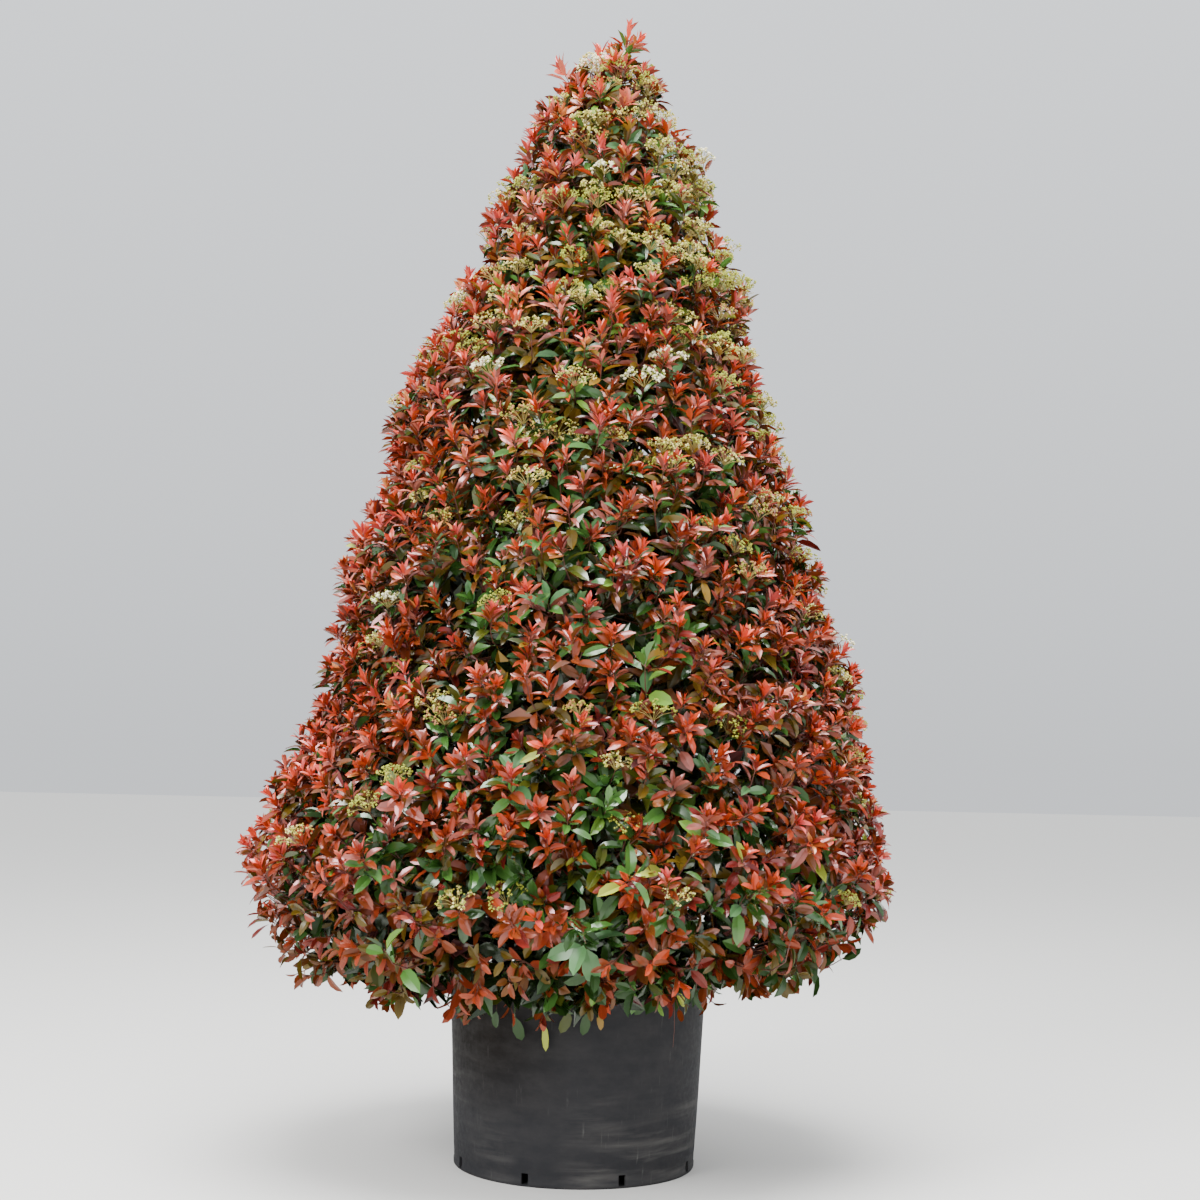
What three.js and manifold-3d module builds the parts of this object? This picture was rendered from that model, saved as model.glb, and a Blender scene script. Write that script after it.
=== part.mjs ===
// A photinia grown as a clipped cone in a large plastic nursery pot.
// Millimetres, +Z up. The origin is the middle of the pot's underside, and the photographed side faces -Y.

import * as THREE from 'three';
import Module from 'manifold-3d';

const wasm = await Module();
wasm.setup();
const { Manifold } = wasm;

// Driving dimensions

const HEIGHT = 3810;              // from the pot's underside to the tip
const GAP = 0.3;                  // between pieces that touch

const POT_HEIGHT = 600;
const POT_FOOT_RADIUS = 387;
const POT_DRAFT = 0.053;          // outward per unit of height
const POT_WALL = 6;
const POT_STEP = { height: 14, out: 2 };
const RIM = { height: 42, out: 8, round: 5 };
const NOTCH = { count: 8, width: 22, height: 40 };
const POT_SIDES = 40;

const COMPOST_TOP = 556;
const COMPOST_MOUND = 12;         // how much higher it is at the trunk

const TRUNK_RADIUS = 44;          // above the root flare
const TRUNK_FLARE = { out: 24, height: 110 };
const TRUNK_TIP = { z: 3340, radius: 11 };
const TRUNK_SIDES = 12;
const TRUNK_STEPS = 14;

const CROWN_RADIUS = 1040;        // to the leaf tips
const WIDEST = 1000;              // the height where the crown is widest
const CROWN_TAPER = 0.73;         // power of the height left to the tip
const SKIRT_DROP = 690;           // half axis of the ellipse below WIDEST
const LOWEST_LEAF = 470;
const HANGING = 860;              // leaves below this height hang
const CORE_BOTTOM = 650;
const CORE_TOP = 3500;
const CORE_FOOT = 22;             // the core's underside is this much lower in the middle
const CORE_SIDES = 20;
const CORE_RINGS = 12;
const INSET = 175;                // from the leaf tips to the core
const INSET_AT_TOP = 116;
const LUMPS = [[4, 130, 26], [7, 90, 17]];  // waves round the core, height per radian, depth

// The crown's middle line, as [height, sideways], leans right at the tip.
const MIDDLE = [[0, 0], [1000, -28], [2000, -12], [3000, 4], [3570, 34], [HEIGHT, 110]];

// Places where the clipped outline stands out, or falls short where reach is negative, by height
// and bearing from +X.
const SWELLS = [
  { z: 600, bearing: Math.PI, reach: 90, tall: 120, wide: 0.9 },
  { z: 900, bearing: Math.PI, reach: 35, tall: 200, wide: 0.8 },
  { z: 1500, bearing: Math.PI, reach: -70, tall: 200, wide: 0.8 },
  { z: 2030, bearing: Math.PI, reach: 60, tall: 120, wide: 0.6 },
  { z: 2500, bearing: Math.PI, reach: 50, tall: 130, wide: 0.6 },
  { z: 3020, bearing: Math.PI, reach: -70, tall: 70, wide: 0.7 },
  { z: 600, bearing: 0, reach: -110, tall: 170, wide: 0.9 },
  { z: 1360, bearing: 0, reach: 40, tall: 100, wide: 0.6 },
  { z: 1620, bearing: 0, reach: 55, tall: 150, wide: 0.7 },
  { z: 2950, bearing: 0, reach: 60, tall: 120, wide: 0.7 },
  { z: 3330, bearing: 0.2, reach: 75, tall: 100, wide: 0.9 },
  { z: 2500, bearing: -2.2, reach: 35, tall: 200, wide: 0.7 },
  { z: 1300, bearing: 1.9, reach: 45, tall: 220, wide: 0.8 },
];

// How steeply shoots rise, as [height, degrees]: they droop under the skirt and stand up near the tip.
const RISE = [
  [480, -52], [600, -26], [750, -4], [950, 18], [1400, 36], [2200, 48], [3200, 59], [3700, 77],
];

// Leading shoots at the top, as the places of their tips.
const LEADERS = [[110, 0, HEIGHT], [4, 45, 3735], [-138, -25, 3685], [75, -90, 3640], [45, 120, 3610]];
const LEADER_FOOT = 90;           // below the core's top

// The masses are parted by cones that rise outward with the shoots. Each entry is the
// cone's height at the crown's surface, and the mass above it.
const PARTINGS = [
  { name: 'foliage_skirt', from: -Infinity },
  { name: 'foliage_lower', from: 1330 },
  { name: 'foliage_middle', from: 1960 },
  { name: 'foliage_upper', from: 2600 },
  { name: 'foliage_top', from: 3170 },
];
const PARTING_SLOPE = 0.75;
const BULGE = 6;                  // how much nearer to a hollow parting a leaf comes than its corners

const LEAF = { length: 262, width: 150, thick: 9, fold: 18, sunk: 20, clear: 4 };
const LEAF_AT_TOP = 0.66;         // leaf size there, against the skirt's
const SHOOT_LEAF = 0.6;           // leaf size on a shoot, against one that stands on the core
const LEAVES_APART = 15;          // along a shoot
const LEAVES = 4;                 // round the end of a shoot, besides the one that carries it on
const TWIG = { root: 9, tip: 6, sunk: 26 };
const SPACING = { low: 231, high: 154 };  // between leaves
const SHOOT_SHARE = 0.2;          // of those places have a shoot with a whorl of leaves
const BLOSSOM = { radius: 52, high: 34, stalk: 70, thick: 6, sides: 6 };
const SEED = 20417;

// Small tools

function seeded(seed) {
  let a = seed;
  return () => {
    a = (a + 0x6d2b79f5) | 0;
    let t = Math.imul(a ^ (a >>> 15), 1 | a);
    t = (t + Math.imul(t ^ (t >>> 7), 61 | t)) ^ t;
    return ((t ^ (t >>> 14)) >>> 0) / 4294967296;
  };
}

const random = seeded(SEED);
const between = (lo, hi) => lo + (hi - lo) * random();
const mix = (a, b, t) => a + (b - a) * t;
const clamp01 = (t) => Math.min(1, Math.max(0, t));
const vec = (x, y, z) => new THREE.Vector3(x, y, z);

/** Straight lines between the points of a [place, value] list. */
function along(list, place) {
  for (let i = 1; i < list.length; i++) {
    if (place <= list[i][0]) {
      const [a, b] = [list[i - 1], list[i]];
      return mix(a[1], b[1], clamp01((place - a[0]) / (b[0] - a[0])));
    }
  }
  return list[list.length - 1][1];
}

/** A closed solid from flat coordinates and triangles wound outward. */
function solid(positions, triangles) {
  const mesh = new wasm.Mesh({
    numProp: 3,
    vertProperties: new Float32Array(positions),
    triVerts: new Uint32Array(triangles),
  });
  return new Manifold(mesh);
}

/** A solid from rings of the same number of points, each ring counter-clockwise seen from the last one. */
function lofted(rings) {
  const sides = rings[0].length;
  const positions = rings.flat().flatMap((p) => [p.x, p.y, p.z]);
  const triangles = [];
  for (let k = 0; k + 1 < rings.length; k++) {
    for (let i = 0; i < sides; i++) {
      const a = k * sides + i;
      const b = k * sides + ((i + 1) % sides);
      triangles.push(a, b, b + sides, a, b + sides, a + sides);
    }
  }
  const last = (rings.length - 1) * sides;
  for (let i = 1; i + 1 < sides; i++) {
    triangles.push(0, i + 1, i, last, last + i, last + i + 1);
  }
  return solid(positions, triangles);
}

/** A solid turned about the Z axis from [radius, height] points that start and end on it. */
function turned(profile, sides) {
  const geometry = new THREE.LatheGeometry(profile.map(([r, z]) => new THREE.Vector2(r, z)), sides);
  geometry.rotateX(Math.PI / 2);
  geometry.deleteAttribute('uv');
  geometry.deleteAttribute('normal');
  const position = geometry.attributes.position;
  const index = geometry.index.array;
  const keys = new Map();
  const positions = [];
  const joined = Array.from({ length: position.count }, (_, i) => {
    const p = [position.getX(i), position.getY(i), position.getZ(i)].map(
      (x) => Math.round(x * 1e4) / 1e4 + 0);
    const key = p.join();
    if (!keys.has(key)) {
      keys.set(key, positions.length / 3);
      positions.push(...p);
    }
    return keys.get(key);
  });
  const triangles = [];
  for (let i = 0; i < index.length; i += 3) {
    const t = [joined[index[i]], joined[index[i + 1]], joined[index[i + 2]]];
    if (new Set(t).size === 3) triangles.push(...t);
  }
  const made = solid(positions, triangles);
  if (made.volume() > 0) return made;
  for (let i = 0; i < triangles.length; i += 3) {
    [triangles[i], triangles[i + 1]] = [triangles[i + 1], triangles[i]];
  }
  return solid(positions, triangles);
}

/** The largest piece of a solid. A scrap, or a hollow that fusing has sealed, is left behind. */
function whole(shape) {
  return shape.decompose().reduce((a, b) => (b.volume() > a.volume() ? b : a));
}

// The crown's form

/** How far leaf tips reach from the crown's middle line at a height and bearing. */
function reach(z, bearing) {
  const even = z >= WIDEST
    ? CROWN_RADIUS * (Math.max(0, HEIGHT - z) / (HEIGHT - WIDEST)) ** CROWN_TAPER
    : CROWN_RADIUS * Math.sqrt(Math.max(0, 1 - ((WIDEST - z) / SKIRT_DROP) ** 2));
  const waves = 1 + 0.022 * Math.sin(3 * bearing + z / 310) + 0.016 * Math.sin(5 * bearing - z / 190);
  let swell = 0;
  for (const s of SWELLS) {
    const turn = Math.atan2(Math.sin(bearing - s.bearing), Math.cos(bearing - s.bearing));
    swell += s.reach * Math.exp(-(((z - s.z) / s.tall) ** 2) - (turn / s.wide) ** 2);
  }
  return even * waves + swell;
}

/** A size that shrinks from the widest part of the crown to its tip. */
const sizeAt = (z, low, high) => mix(low, high, clamp01((z - WIDEST) / (HEIGHT - WIDEST)));

/** The core's radius, which stays inside the leaf tips. */
function coreReach(z, bearing) {
  const inset = mix(INSET, INSET_AT_TOP, clamp01((z - WIDEST) / (CORE_TOP - WIDEST)));
  const lumps = LUMPS.reduce((sum, [n, high, deep]) => sum + deep * Math.sin(n * bearing + z / high), 0);
  return Math.max(24, reach(z, bearing) - inset + lumps * clamp01(reach(z, bearing) / 500));
}

const middle = (z) => along(MIDDLE, z);

/** The height of the parting cone of this mass above a point's distance from the Z axis. */
function partingAt(mass, radius) {
  const from = PARTINGS[mass]?.from ?? Infinity;
  return Number.isFinite(from) ? from + PARTING_SLOPE * (radius - reach(from, 0)) : from;
}

/** How far a point is inside the space of a mass: between its partings, and clear of pot and trunk. */
function room(mass, p) {
  const radius = Math.hypot(p.x, p.y);
  const tilt = Math.hypot(1, PARTING_SLOPE);
  const flats = PARTING_SLOPE * radius * (1 / Math.cos(Math.PI / CORE_SIDES) - 1);
  const below = (p.z - partingAt(mass, radius) - flats) / tilt;
  const above = (partingAt(mass + 1, radius) - p.z - BULGE) / tilt;
  const rim = POT_FOOT_RADIUS + POT_DRAFT * POT_HEIGHT + RIM.out;
  const pot = Math.max(radius - rim, p.z - POT_HEIGHT);
  const trunk = Math.max(Math.hypot(p.x - trunkX(p.z), p.y) - trunkRadius(p.z), p.z - TRUNK_TIP.z);
  return Math.min(below, above, pot - 4, trunk - 4);
}

// Trunk

const SOIL = COMPOST_TOP + COMPOST_MOUND + GAP;
const trunkX = (z) => middle(z) * clamp01((z - SOIL) / 400);

function trunkRadius(z) {
  const up = clamp01((z - SOIL) / (TRUNK_TIP.z - SOIL));
  const flare = TRUNK_FLARE.out * Math.exp(-((z - SOIL) / (TRUNK_FLARE.height / 2)));
  return mix(TRUNK_RADIUS, TRUNK_TIP.radius, up) + Math.max(0, flare);
}

function trunkSolid(clear) {
  const rings = [];
  for (let k = 0; k <= TRUNK_STEPS; k++) {
    const t = (k / TRUNK_STEPS) ** 1.35;
    const z = mix(SOIL, TRUNK_TIP.z, t);
    const ring = [];
    for (let i = 0; i < TRUNK_SIDES; i++) {
      const a = (2 * Math.PI * i) / TRUNK_SIDES;
      const ridge = 1 + 0.16 * Math.exp(-(z - SOIL) / 70) * Math.cos(4 * a);
      const r = trunkRadius(z) * ridge + clear;
      const end = k === 0 ? -clear : k === TRUNK_STEPS ? clear : 0;
      ring.push(vec(trunkX(z) + r * Math.cos(a), r * Math.sin(a), z + end));
    }
    rings.push(ring);
  }
  return lofted(rings);
}

// Pot and compost

function potSolid() {
  const wall = (z) => POT_FOOT_RADIUS + POT_DRAFT * z;
  const rimFoot = POT_HEIGHT - RIM.height;
  const shell = turned([
    [0, 0],
    [POT_FOOT_RADIUS + POT_STEP.out, 0],
    [wall(POT_STEP.height) + POT_STEP.out, POT_STEP.height],
    [wall(POT_STEP.height), POT_STEP.height + 3],
    [wall(rimFoot), rimFoot],
    [wall(rimFoot) + RIM.out, rimFoot + RIM.out],
    [wall(POT_HEIGHT) + RIM.out, POT_HEIGHT - RIM.round],
    [wall(POT_HEIGHT) + RIM.out - RIM.round, POT_HEIGHT],
    [wall(POT_HEIGHT) - POT_WALL + 2, POT_HEIGHT],
    [wall(POT_HEIGHT) - POT_WALL, POT_HEIGHT - 3],
    [wall(POT_WALL) - POT_WALL, POT_WALL],
    [0, POT_WALL],
  ], POT_SIDES);
  const notches = [];
  for (let i = 0; i < NOTCH.count; i++) {
    const a = (2 * Math.PI * (i + 0.5)) / NOTCH.count;
    const out = vec(Math.cos(a), Math.sin(a), 0);
    const side = vec(-Math.sin(a), Math.cos(a), 0);
    const ring = (z) => [[-1, -1], [1, -1], [1, 1], [-1, 1]].map(([u, v]) => out.clone()
      .multiplyScalar(POT_FOOT_RADIUS + 12 + 30 * u).addScaledVector(side, (v * NOTCH.width) / 2).setZ(z));
    notches.push(lofted([ring(POT_WALL), ring(NOTCH.height)]));
  }
  return shell.subtract(Manifold.union(notches));
}

function compostSolid() {
  const inner = (z) => POT_FOOT_RADIUS + POT_DRAFT * z - POT_WALL - GAP;
  return turned([
    [0, POT_WALL + GAP],
    [inner(POT_WALL) - 2, POT_WALL + GAP],
    [inner(COMPOST_TOP), COMPOST_TOP],
    [inner(COMPOST_TOP) * 0.8, COMPOST_TOP + 4],
    [inner(COMPOST_TOP) * 0.45, COMPOST_TOP + COMPOST_MOUND - 3],
    [110, COMPOST_TOP + COMPOST_MOUND],
    [0, COMPOST_TOP + COMPOST_MOUND],
  ], POT_SIDES);
}

// Foliage

/** The core of the whole crown, a lumpy cone inside the leaf tips. */
function coreSolid() {
  const rings = [];
  const foot = [];
  for (let k = 0; k <= CORE_RINGS; k++) {
    const t = k / CORE_RINGS;
    const z = mix(CORE_BOTTOM, CORE_TOP, t);
    const ring = [];
    for (let i = 0; i < CORE_SIDES; i++) {
      const a = (2 * Math.PI * (i + 0.5 * (k % 2))) / CORE_SIDES;
      const r = coreReach(z, a);
      ring.push(vec(middle(z) + r * Math.cos(a), r * Math.sin(a), z));
      if (k === 0) foot.push(vec(middle(z) + 0.7 * r * Math.cos(a), 0.7 * r * Math.sin(a), z - CORE_FOOT));
    }
    if (k === 0) rings.push(foot);
    rings.push(ring);
  }
  return lofted(rings);
}

/** The space between two parting cones, drawn in by half a gap on each side. */
function massSpace(mass) {
  const far = 1600;
  const ring = (radius, z) => Array.from({ length: CORE_SIDES }, (_, i) => {
    const a = (2 * Math.PI * i) / CORE_SIDES;
    return vec(radius * Math.cos(a), radius * Math.sin(a), z);
  });
  const cut = (m, shift) => {
    const axis = partingAt(m, 0) + shift;
    const above = [ring(far, 9000), ring(0.5, 9000)];
    return lofted([ring(0.5, axis), ring(far, axis + PARTING_SLOPE * far), ...above]);
  };
  const half = (GAP / 2) * Math.hypot(1, PARTING_SLOPE) * 1.05;
  const everything = lofted([ring(far, -100), ring(far, 6000)]);
  let space = everything;
  if (Number.isFinite(PARTINGS[mass].from)) space = space.intersect(cut(mass, half));
  if (mass + 1 < PARTINGS.length) space = space.subtract(cut(mass + 1, -half));
  return space;
}

/** A frame of unit vectors whose third one is the given direction. */
function frameOf(direction) {
  const w = direction.clone().normalize();
  const u = vec(0, 0, 1).cross(w);
  if (u.length() < 0.05) u.set(1, 0, 0).cross(w);
  u.normalize();
  return [u, w.clone().cross(u).normalize(), w];
}

/** The six corners of a leaf folded along its midrib: root, right, left, tip, upper and under side. */
function leafCorners(root, direction, facing, size) {
  const w = direction.clone().normalize();
  const n = facing.clone().addScaledVector(w, -facing.dot(w)).normalize();
  const s = w.clone().cross(n);
  const at = (out, side, up) => root.clone()
    .addScaledVector(w, out * size).addScaledVector(s, side * size).addScaledVector(n, up * size);
  const { length, width, thick, fold } = LEAF;
  return [
    at(0, 0, 0), at(length * 0.47, width / 2, fold), at(length * 0.47, -width / 2, fold),
    at(length, 0, 0), at(length * 0.45, 0, thick / 2), at(length * 0.45, 0, -thick / 2),
  ];
}

const LEAF_FACES = [0, 1, 4, 1, 3, 4, 3, 2, 4, 2, 0, 4, 1, 0, 5, 3, 1, 5, 2, 3, 5, 0, 2, 5];

function leafSolid(corners) {
  const made = solid(corners.flatMap((p) => [p.x, p.y, p.z]), LEAF_FACES);
  if (made.volume() > 0) return made;
  const turnedFaces = LEAF_FACES.map((_, i) => LEAF_FACES[i - (i % 3) + [0, 2, 1][i % 3]]);
  return solid(corners.flatMap((p) => [p.x, p.y, p.z]), turnedFaces);
}

function ringAcross(centre, direction, radius, sides) {
  const [u, v] = frameOf(direction);
  return Array.from({ length: sides }, (_, i) => {
    const a = (2 * Math.PI * i) / sides;
    return centre.clone().addScaledVector(u, radius * Math.cos(a)).addScaledVector(v, radius * Math.sin(a));
  });
}

function twigSolid(from, to) {
  const d = to.clone().sub(from);
  return lofted([ringAcross(from, d, TWIG.root, 3), ringAcross(to, d, TWIG.tip, 3)]);
}

/** A flat-topped flower head on its stalk. */
function blossomSolid(from, direction, size) {
  const head = from.clone().addScaledVector(direction, BLOSSOM.stalk);
  const stalk = lofted([
    ringAcross(from, direction, BLOSSOM.thick, 3),
    ringAcross(head.clone().addScaledVector(direction, 6), direction, BLOSSOM.thick, 3),
  ]);
  const rings = [[0.22, 0], [1, 0.45], [0.55, 1]].map(([r, h]) => ringAcross(
    head.clone().addScaledVector(direction, h * BLOSSOM.high * size), direction,
    r * BLOSSOM.radius * size, BLOSSOM.sides));
  return [stalk, lofted(rings)];
}

const rise = (z) => THREE.MathUtils.degToRad(along(RISE, z));

/** Places on the core in even rows, by height and bearing. */
function places() {
  const found = [];
  let run = 0;
  let row = 0;
  let last = [0.7 * coreReach(CORE_BOTTOM, 0), CORE_BOTTOM - CORE_FOOT];
  for (let z = CORE_BOTTOM; z < CORE_TOP - 40; z += 5) {
    const here = [coreReach(z, 0), z];
    run += Math.hypot(here[0] - last[0], here[1] - last[1]);
    last = here;
    const spacing = sizeAt(z, SPACING.low, SPACING.high);
    if (run < spacing * 0.8) continue;
    run = 0;
    row += 1;
    const count = Math.max(4, Math.round((2 * Math.PI * coreReach(z, 0)) / spacing));
    for (let i = 0; i < count; i++) {
      const bearing = (2 * Math.PI * (i + 0.5 * (row % 2) + between(-0.22, 0.22))) / count;
      found.push({ z: Math.max(CORE_BOTTOM + 4, z + between(-0.25, 0.25) * spacing), bearing });
    }
  }
  return found;
}

/** Most flower heads are high on the sunny side, +X. */
function flowers({ z, bearing }) {
  const high = clamp01((z - 900) / 2200);
  const sunny = 0.5 + 0.5 * Math.cos(bearing);
  return random() < 0.15 + 0.75 * high * (0.35 + 0.65 * sunny);
}

/** How far a point is inside the core. */
function depth(p) {
  const z = Math.min(CORE_TOP, Math.max(CORE_BOTTOM, p.z));
  const bearing = Math.atan2(p.y, p.x - middle(z));
  const inside = coreReach(z, bearing) - Math.hypot(p.x - middle(z), p.y);
  return z === p.z ? inside : Math.min(inside, -Math.abs(z - p.z));
}

/** How far a point is outside the reach of the leaf tips. */
function outside(p) {
  const x = p.x - middle(p.z);
  return Math.hypot(x, p.y) - reach(p.z, Math.atan2(p.y, x));
}

/** Whether a leaf may stay: in its mass's space, out of the core, and inside the crown's height. */
function fits(mass, corners) {
  return corners.every((p, i) => room(mass, p) > 2 && p.z > LOWEST_LEAF && p.z < HEIGHT + 1
    && (i === 0 || depth(p) < -LEAF.clear));
}

/** A leaf that stands on the core, shortened until its tip stays inside the crown. */
function coreLeaf(mass, surface, direction) {
  const size = sizeAt(surface.z, 1, LEAF_AT_TOP) * between(0.85, 1.1);
  const [u, v, w] = frameOf(direction);
  const roll = Math.PI / 2 + between(-0.7, 0.7);
  const facing = u.clone().multiplyScalar(Math.cos(roll)).addScaledVector(v, -Math.sin(roll));
  const root = surface.clone();
  for (let i = 0; i < 12 && depth(root) < LEAF.sunk; i++) root.addScaledVector(w, -5);
  for (let long = size; long > 0.55 * size; long *= 0.93) {
    const corners = leafCorners(root, w, facing, long);
    if (outside(corners[3]) < 0) return fits(mass, corners) ? [leafSolid(corners)] : [];
  }
  return [];
}

/** A twig from a foot in the core, leaves round its end, and a leaf or flower head beyond them. */
function shoot(mass, foot, tip, flower) {
  const size = sizeAt(tip.z, 1, LEAF_AT_TOP) * SHOOT_LEAF * between(0.9, 1.1);
  const [u, v, w] = frameOf(tip.clone().sub(foot));
  const heart = tip.clone().addScaledVector(w, -0.8 * LEAF.length * size);
  if (room(mass, foot) < TWIG.root || room(mass, heart) < TWIG.tip) return [];
  const parts = [twigSolid(foot, heart)];
  const start = random() * 2 * Math.PI;
  for (let i = 0; i <= LEAVES; i++) {
    if (i === LEAVES && flower) continue;
    const back = i < LEAVES ? LEAVES_APART * (LEAVES - i) : TWIG.tip;
    for (let attempt = 0; attempt < 6; attempt++) {
      const lean = i < LEAVES ? between(0.7, 1.15) : 0;
      const a = start + (2 * Math.PI * (i + between(-0.25, 0.25))) / LEAVES;
      const side = u.clone().multiplyScalar(Math.cos(a)).addScaledVector(v, Math.sin(a));
      const out = w.clone().multiplyScalar(Math.cos(lean)).addScaledVector(side, Math.sin(lean));
      const facing = w.clone().multiplyScalar(Math.sin(lean)).addScaledVector(side, -Math.cos(lean));
      const root = heart.clone().addScaledVector(w, -back);
      const long = i < LEAVES ? size * between(0.88, 1.1) : root.distanceTo(tip) / LEAF.length;
      const corners = leafCorners(root, out, facing, long);
      if (!fits(mass, corners)) continue;
      parts.push(leafSolid(corners));
      break;
    }
  }
  const head = heart.clone().addScaledVector(w, BLOSSOM.stalk);
  if (flower && room(mass, head) > BLOSSOM.radius) parts.push(...blossomSolid(heart, w, size / SHOOT_LEAF));
  return parts;
}

function massOf(p) {
  const radius = Math.hypot(p.x, p.y);
  let mass = 0;
  while (mass + 1 < PARTINGS.length && p.z > partingAt(mass + 1, radius)) mass += 1;
  return mass;
}

/** The leaf or shoot at one place, which tries a few ways to lie before it is skipped. */
function growth(place) {
  const { z, bearing } = place;
  const r = coreReach(z, bearing);
  const surface = vec(middle(z) + r * Math.cos(bearing), r * Math.sin(bearing), z);
  const mass = massOf(surface);
  for (let attempt = 0; attempt < 6; attempt++) {
    const single = random() > SHOOT_SHARE;
    const steeper = single ? Math.sign(z - HANGING) * between(0.1, 0.5) : between(-0.1, 0.3);
    const up = rise(z) + steeper;
    const turn = bearing + between(-0.45, 0.45);
    const direction = vec(Math.cos(turn) * Math.cos(up), Math.sin(turn) * Math.cos(up), Math.sin(up));
    let made;
    if (!single) {
      const tip = surface.clone();
      for (let i = 0; i < 60 && outside(tip) < 0; i++) tip.addScaledVector(direction, 6);
      const foot = surface.clone();
      for (let i = 0; i < 20 && depth(foot) < TWIG.sunk; i++) foot.addScaledVector(direction, -6);
      made = shoot(mass, foot, tip, flowers(place));
    } else {
      made = coreLeaf(mass, surface, direction);
    }
    if (made.length) return [mass, made];
  }
  return [mass, []];
}

function foliage() {
  const grown = PARTINGS.map(() => []);
  for (const place of places()) {
    const [mass, made] = growth(place);
    grown[mass].push(...made);
  }
  const top = PARTINGS.length - 1;
  const start = vec(middle(CORE_TOP), 0, CORE_TOP - LEADER_FOOT);
  for (const tip of LEADERS) grown[top].push(...shoot(top, start, vec(...tip), false));
  const core = coreSolid();
  const bore = trunkSolid(GAP + 0.2);
  return PARTINGS.map(({ name }, mass) => {
    const piece = whole(core.intersect(massSpace(mass)));
    const joined = Manifold.union([piece, ...grown[mass]]);
    return [name, whole(joined.subtract(bore))];
  });
}

// The group

const materials = {
  plastic: { color: 0x2b2c2e, roughness: 0.55, metalness: 0 },
  compost: { color: 0x33261c, roughness: 0.95, metalness: 0 },
  bark: { color: 0x5d4a3c, roughness: 0.9, metalness: 0 },
  leaf: { color: 0x8f4636, roughness: 0.5, metalness: 0 },
};

function meshOf(shape, name, look) {
  const { vertProperties, triVerts, numProp } = shape.getMesh();
  const positions = new Float32Array((vertProperties.length / numProp) * 3);
  for (let i = 0; i < positions.length / 3; i++) {
    for (let k = 0; k < 3; k++) positions[3 * i + k] = vertProperties[numProp * i + k];
  }
  const geometry = new THREE.BufferGeometry();
  geometry.setAttribute('position', new THREE.BufferAttribute(positions, 3));
  geometry.setIndex(new THREE.BufferAttribute(new Uint32Array(triVerts), 1));
  const material = new THREE.MeshStandardMaterial({ ...materials[look], flatShading: true });
  const mesh = new THREE.Mesh(geometry, material);
  mesh.name = name;
  return mesh;
}

const group = new THREE.Group();
group.name = 'potted_photinia_cone';
group.add(meshOf(potSolid(), 'pot', 'plastic'));
group.add(meshOf(compostSolid(), 'compost', 'compost'));
group.add(meshOf(trunkSolid(0), 'trunk', 'bark'));
for (const [name, shape] of foliage()) group.add(meshOf(shape, name, 'leaf'));

export default group;
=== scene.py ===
"""A photinia grown as a clipped cone in a black nursery pot, dressed for the picture.

Metres, +Z up, the pot's underside at the origin and the photographed side towards -Y. The
crown's outline, middle line and shoot angles follow the part's own source, and the leaves,
flower heads, twigs and boughs here are finer than its solids.
"""

import math
from math import pi

import bpy
import numpy as np
from mathutils import Matrix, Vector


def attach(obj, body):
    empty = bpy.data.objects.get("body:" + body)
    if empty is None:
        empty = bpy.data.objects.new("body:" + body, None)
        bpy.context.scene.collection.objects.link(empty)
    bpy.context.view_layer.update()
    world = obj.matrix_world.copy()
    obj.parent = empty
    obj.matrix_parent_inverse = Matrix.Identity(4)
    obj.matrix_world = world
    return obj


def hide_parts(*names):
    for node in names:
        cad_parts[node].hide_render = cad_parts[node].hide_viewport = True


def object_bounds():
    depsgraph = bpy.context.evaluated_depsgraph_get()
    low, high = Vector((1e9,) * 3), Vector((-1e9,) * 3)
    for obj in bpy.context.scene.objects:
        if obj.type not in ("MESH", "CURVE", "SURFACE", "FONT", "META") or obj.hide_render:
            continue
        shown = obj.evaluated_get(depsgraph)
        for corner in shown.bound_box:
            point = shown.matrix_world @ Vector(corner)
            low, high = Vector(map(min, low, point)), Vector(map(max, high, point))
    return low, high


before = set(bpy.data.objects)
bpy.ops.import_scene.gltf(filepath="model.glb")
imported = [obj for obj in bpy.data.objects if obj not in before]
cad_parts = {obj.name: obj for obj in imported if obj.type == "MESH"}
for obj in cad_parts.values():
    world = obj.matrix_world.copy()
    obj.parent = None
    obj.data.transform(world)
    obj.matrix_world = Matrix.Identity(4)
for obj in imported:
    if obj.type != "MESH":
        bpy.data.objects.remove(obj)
CAD_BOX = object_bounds()
BOX_MIN, BOX_MAX = (np.array(list(corner)) for corner in CAD_BOX)
RNG = np.random.default_rng(20417)

# Sizes, in metres

HEIGHT = 3.81
POT_HEIGHT, POT_FOOT, POT_DRAFT, POT_WALL = 0.6, 0.387, 0.053, 0.006
RIM_HEIGHT, RIM_OUT = 0.042, 0.008
POT_RIM = POT_FOOT + POT_DRAFT * POT_HEIGHT + RIM_OUT
NOTCHES, NOTCH_WIDE, NOTCH_HIGH = 8, 0.022, 0.04
SOIL, SOIL_EDGE = 0.5683, 0.556  # the compost's level at the stem and at the pot's wall
TRUNK_RADIUS, TRUNK_TIP_Z, TRUNK_TIP_RADIUS = 0.044, 3.34, 0.011
CROWN_RADIUS, WIDEST, TAPER, SKIRT_DROP = 1.04, 1, 0.73, 0.69
SKIRT_IN, SKIRT_FOOT = 0.47, 0.7  # radii between which shoots stand under the skirt
SHOOTS_APART, SPRAYS_APART = 0.075, 0.29
TIP_LEAF = 0.056  # room for the leaves at a shoot's end, inside the reach
BOX_ROOM = 0.032  # how far leaves may pass the CAD's box
GOLDEN_ANGLE = 2.39996

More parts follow.
